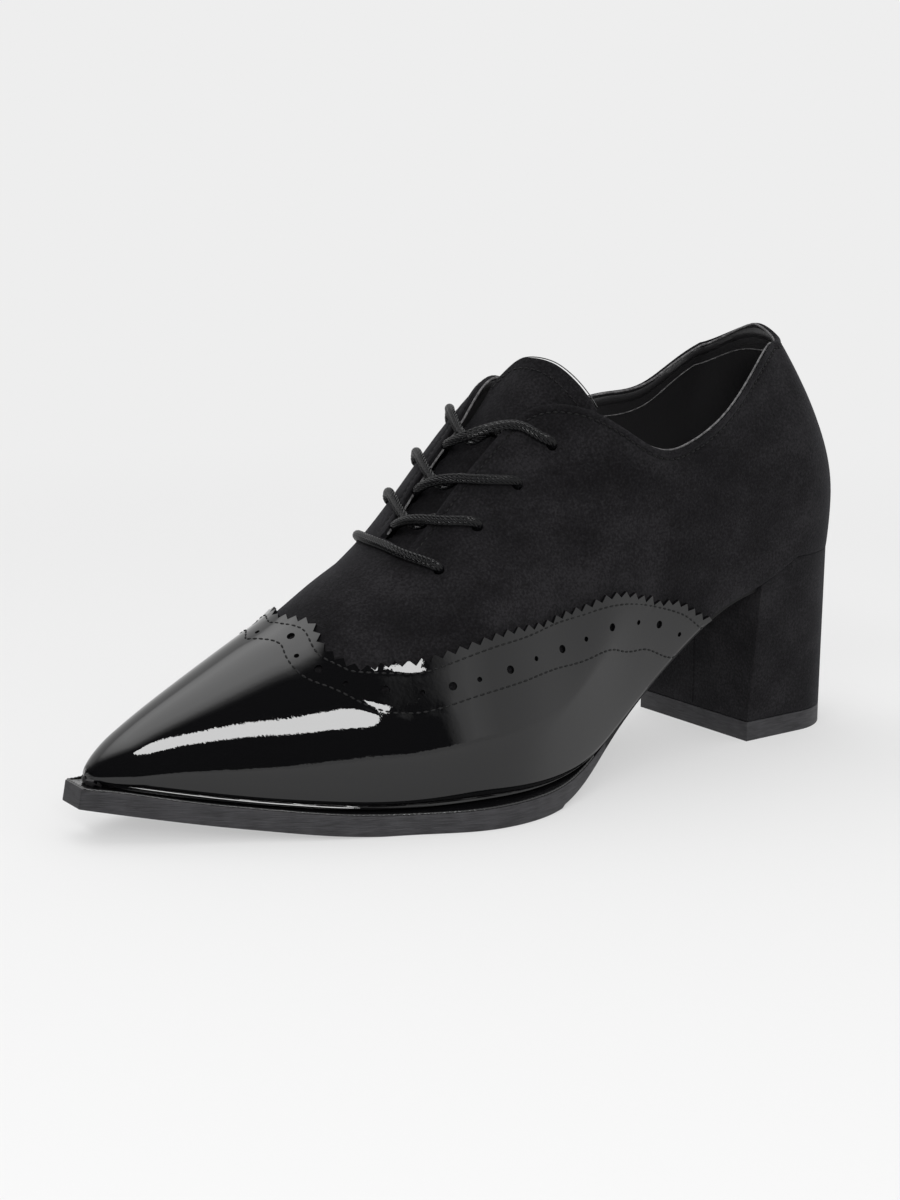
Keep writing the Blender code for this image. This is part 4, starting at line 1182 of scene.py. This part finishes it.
shape = block(HEEL_CELLS, LEVEL_CELLS, LID_CELLS, heel_section, HEEL_ROUND, segments=3)
heel = piece("suede_heel", shape, suede)
settle(heel, sharp=35)
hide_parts("heel_block")
shape = bmesh.new()
seam_low = Vector((BREAST_X, 0, LIFT_HEIGHT + SEAM_FOOT))
seam_top = Vector((BREAST_X, 0, seat_height(BREAST_X) - SEAM_HEAD))
rod(shape, SEAM_SIDES, SEAM_WIDE / 2, (seam_top - seam_low).length)
bmesh.ops.scale(shape, vec=(SEAM_HIGH * 2 / SEAM_WIDE, 1, 1), verts=shape.verts)
bmesh.ops.translate(shape, vec=put((seam_low + seam_top) / 2), verts=shape.verts)
heel_seam = piece("heel_seam", shape, suede)
settle(heel_seam, sharp=60)

# Top-lift: a flat plate of the sole's dark grey rubber, cut to the heel's outline and pinned under the
# block, so that it can be changed when it is worn.
LIFT_CELLS, PLATE_ROUND = 4, 0.35


def lift_section(u, across, level):
    """Point of the plate's section at u."""
    x = heel_share(u) * BREAST_X
    return x, ellipse_half(LIFT_ROUND, LIFT_HALF, x) * (1 - 2 * across), LIFT_HEIGHT * level


shape = block(HEEL_CELLS, LIFT_CELLS, LID_CELLS, lift_section, PLATE_ROUND)
top_lift = piece("heel_top_lift", shape, rubber)
settle(top_lift, sharp=35)
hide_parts("top_lift")

# Insole: a board covered by a smooth black sock. It is the floor inside the wall, glued down on the sole and
# on the seat, and the upper is lasted over its edge.
INSOLE_THICK, INSOLE_INSET, INSOLE_BACK, INSOLE_END = 2.4, WALL + 2 * GAP, 3.9, 250.0
SOCK_LENGTH_CELLS, SOCK_WIDTH_CELLS, SOCK_CLOSER = 90, 20, 0.12


def sock_place(u, v):
    """Point of the sock from back to front and from outer to inner side, closer together at the back."""
    x = INSOLE_BACK + (INSOLE_END - INSOLE_BACK) * (u if u > SOCK_CLOSER else u * u / SOCK_CLOSER)
    outer, inner = (surface(max(x, FAN_X), side, 180)[1] - side * INSOLE_INSET for side in (1, -1))
    if x < FAN_X:
        outer, inner = (side * seat_half(x, side, INSOLE_INSET) for side in (1, -1))
    low = seat_height(x) + (GAP if x < SOLE_REAR else 0)
    return x, outer + (inner - outer) * v, low + INSOLE_THICK


shape = bmesh.new()
lay(shape, SOCK_LENGTH_CELLS, SOCK_WIDTH_CELLS, sock_place)
face_up(shape)
sock = piece("insole_sock", shape, lining)
thicken(sock, INSOLE_THICK)
settle(sock)
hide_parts("insole")

# Stage: a pale paper floor that runs into a pale studio with soft bright zones, a long softbox over the
# camera that draws the band along the patent, and the camera where the photograph was taken.
PALE, WHITE = (0.855, 0.855, 0.855, 1), (1, 1, 1, 1)
FLOOR_RADIUS, FLOOR_SIDES, FLOOR_NEAR, FLOOR_FAR, FLOOR_GLOW = 6, 96, 0.3, 0.75, 0.55
paper = finish("paper", (0.75, 0.75, 0.75), roughness=0.9, Specular_IOR_Level=0.1)
tree = paper.node_tree
where = node(tree, "TexCoord").outputs["Object"]
away = node(tree, "VectorMath", where, operation="LENGTH").outputs["Value"]
fade = node(tree, "MapRange", Value=away, From_Min=FLOOR_NEAR, From_Max=FLOOR_FAR, To_Min=FLOOR_GLOW)
fade.interpolation_type = "SMOOTHSTEP"
lit = tree.nodes["Principled BSDF"].outputs["BSDF"]
glow = node(tree, "Emission", Color=PALE).outputs["Emission"]
blend = node(tree, "MixShader", fade.outputs["Result"], lit, glow)
tree.links.new(blend.outputs["Shader"], tree.nodes["Material Output"].inputs["Surface"])
shape = bmesh.new()
bmesh.ops.create_circle(shape, cap_ends=True, segments=FLOOR_SIDES, radius=FLOOR_RADIUS)
floor = solid("floor", shape, paper)

# The studio is as bright as the brightest of three zones, each a way, a strength and stops from opposite
# that way (0) to straight along it (1). The camera sees it plain and pale.
ZONES = (
    (Vector((-0.6, -0.8, 0.0)), 1.0, ((0.36, 0.03), (0.48, 0.10), (0.56, 0.42), (0.68, 0.85))),
    (Vector((-0.951, 0.168, 0.259)), 1.1, ((0.53, 0.02), (0.58, 0.78), (0.63, 0.95), (0.75, 0.78))),
    (Vector((0.105, -0.393, 0.914)), 2.4,
     ((0.883, 0.0), (0.905, 0.05), (0.929, 0.28), (0.949, 0.72), (0.976, 1.0))),
)
world = bpy.data.worlds.new("studio")
bpy.context.scene.world = world
world.use_nodes = True
tree = world.node_tree
where = node(tree, "TexCoord").outputs["Generated"]
brightest = 0.0
for way, peak, stops in ZONES:
    facing = node(tree, "VectorMath", where, way, operation="DOT_PRODUCT").outputs["Value"]
    spread = node(tree, "MapRange", Value=facing, From_Min=-1).outputs["Result"]
    zone = node(tree, "Math", ramp(tree, spread, stops), peak, operation="MULTIPLY").outputs["Value"]
    brightest = node(tree, "Math", brightest, zone, operation="MAXIMUM").outputs["Value"]
studio = tree.nodes["Background"]
studio.inputs["Color"].default_value = WHITE
tree.links.new(brightest, studio.inputs["Strength"])
plain = node(tree, "Background", Color=PALE).outputs["Background"]
seen = node(tree, "LightPath").outputs["Is Camera Ray"]
blend = node(tree, "MixShader", seen, studio.outputs["Background"], plain)
tree.links.new(blend.outputs["Shader"], tree.nodes["World Output"].inputs["Surface"])

# The softbox is lit cloth, drawn in its own plane in metres: a long strip that widens at the heel's end.
BOX_AZIMUTH, BOX_ELEVATION, BOX_AWAY, BOX_ROLL, BOX_GLOW = 38.0, 39.8, 1.2, -38.0, 14.0
BOX_AIM = Vector((0.03, 0.0, 0.04))
BOX = (
    (-0.48, -0.0625), (0.5, -0.0625), (0.6, -0.03), (0.74, 0.045), (0.85, 0.115), (0.872, 0.16),
    (0.84, 0.22), (0.7, 0.345), (0.64, 0.355), (0.56, 0.305), (0.45, 0.21), (0.36, 0.125), (0.25, 0.0625),
    (-0.48, 0.0625),
)
azimuth, elevation = math.radians(BOX_AZIMUTH), math.radians(BOX_ELEVATION)
flat = math.cos(elevation)
out = Vector((math.cos(azimuth) * flat, math.sin(azimuth) * flat, math.sin(elevation)))
turn = out.to_track_quat("Z", "Y").to_matrix() @ Matrix.Rotation(math.radians(BOX_ROLL), 3, "Z")
shape = bmesh.new()
shape.faces.new([shape.verts.new(BOX_AIM + out * BOX_AWAY + turn @ Vector((*spot, 0))) for spot in BOX])
cloth = finish("lit_cloth", (0, 0, 0), roughness=1.0, Emission_Color=WHITE, Emission_Strength=BOX_GLOW)
softbox = solid("softbox", shape, cloth)
softbox.visible_camera = False
CAMERA_AT = Vector((0.35815, 0.47816, 0.18341))
VIEW_AT = Vector((0.0175, 0.0, 0.0555))
camera = bpy.data.objects.new("camera", bpy.data.cameras.new("camera"))
bpy.context.scene.collection.objects.link(camera)
camera.location = CAMERA_AT
camera.rotation_euler = (VIEW_AT - CAMERA_AT).to_track_quat("-Z", "Y").to_euler()
camera.data.sensor_width = 36
camera.data.lens = 62
camera.data.clip_start = 0.01
bpy.context.scene.camera = camera
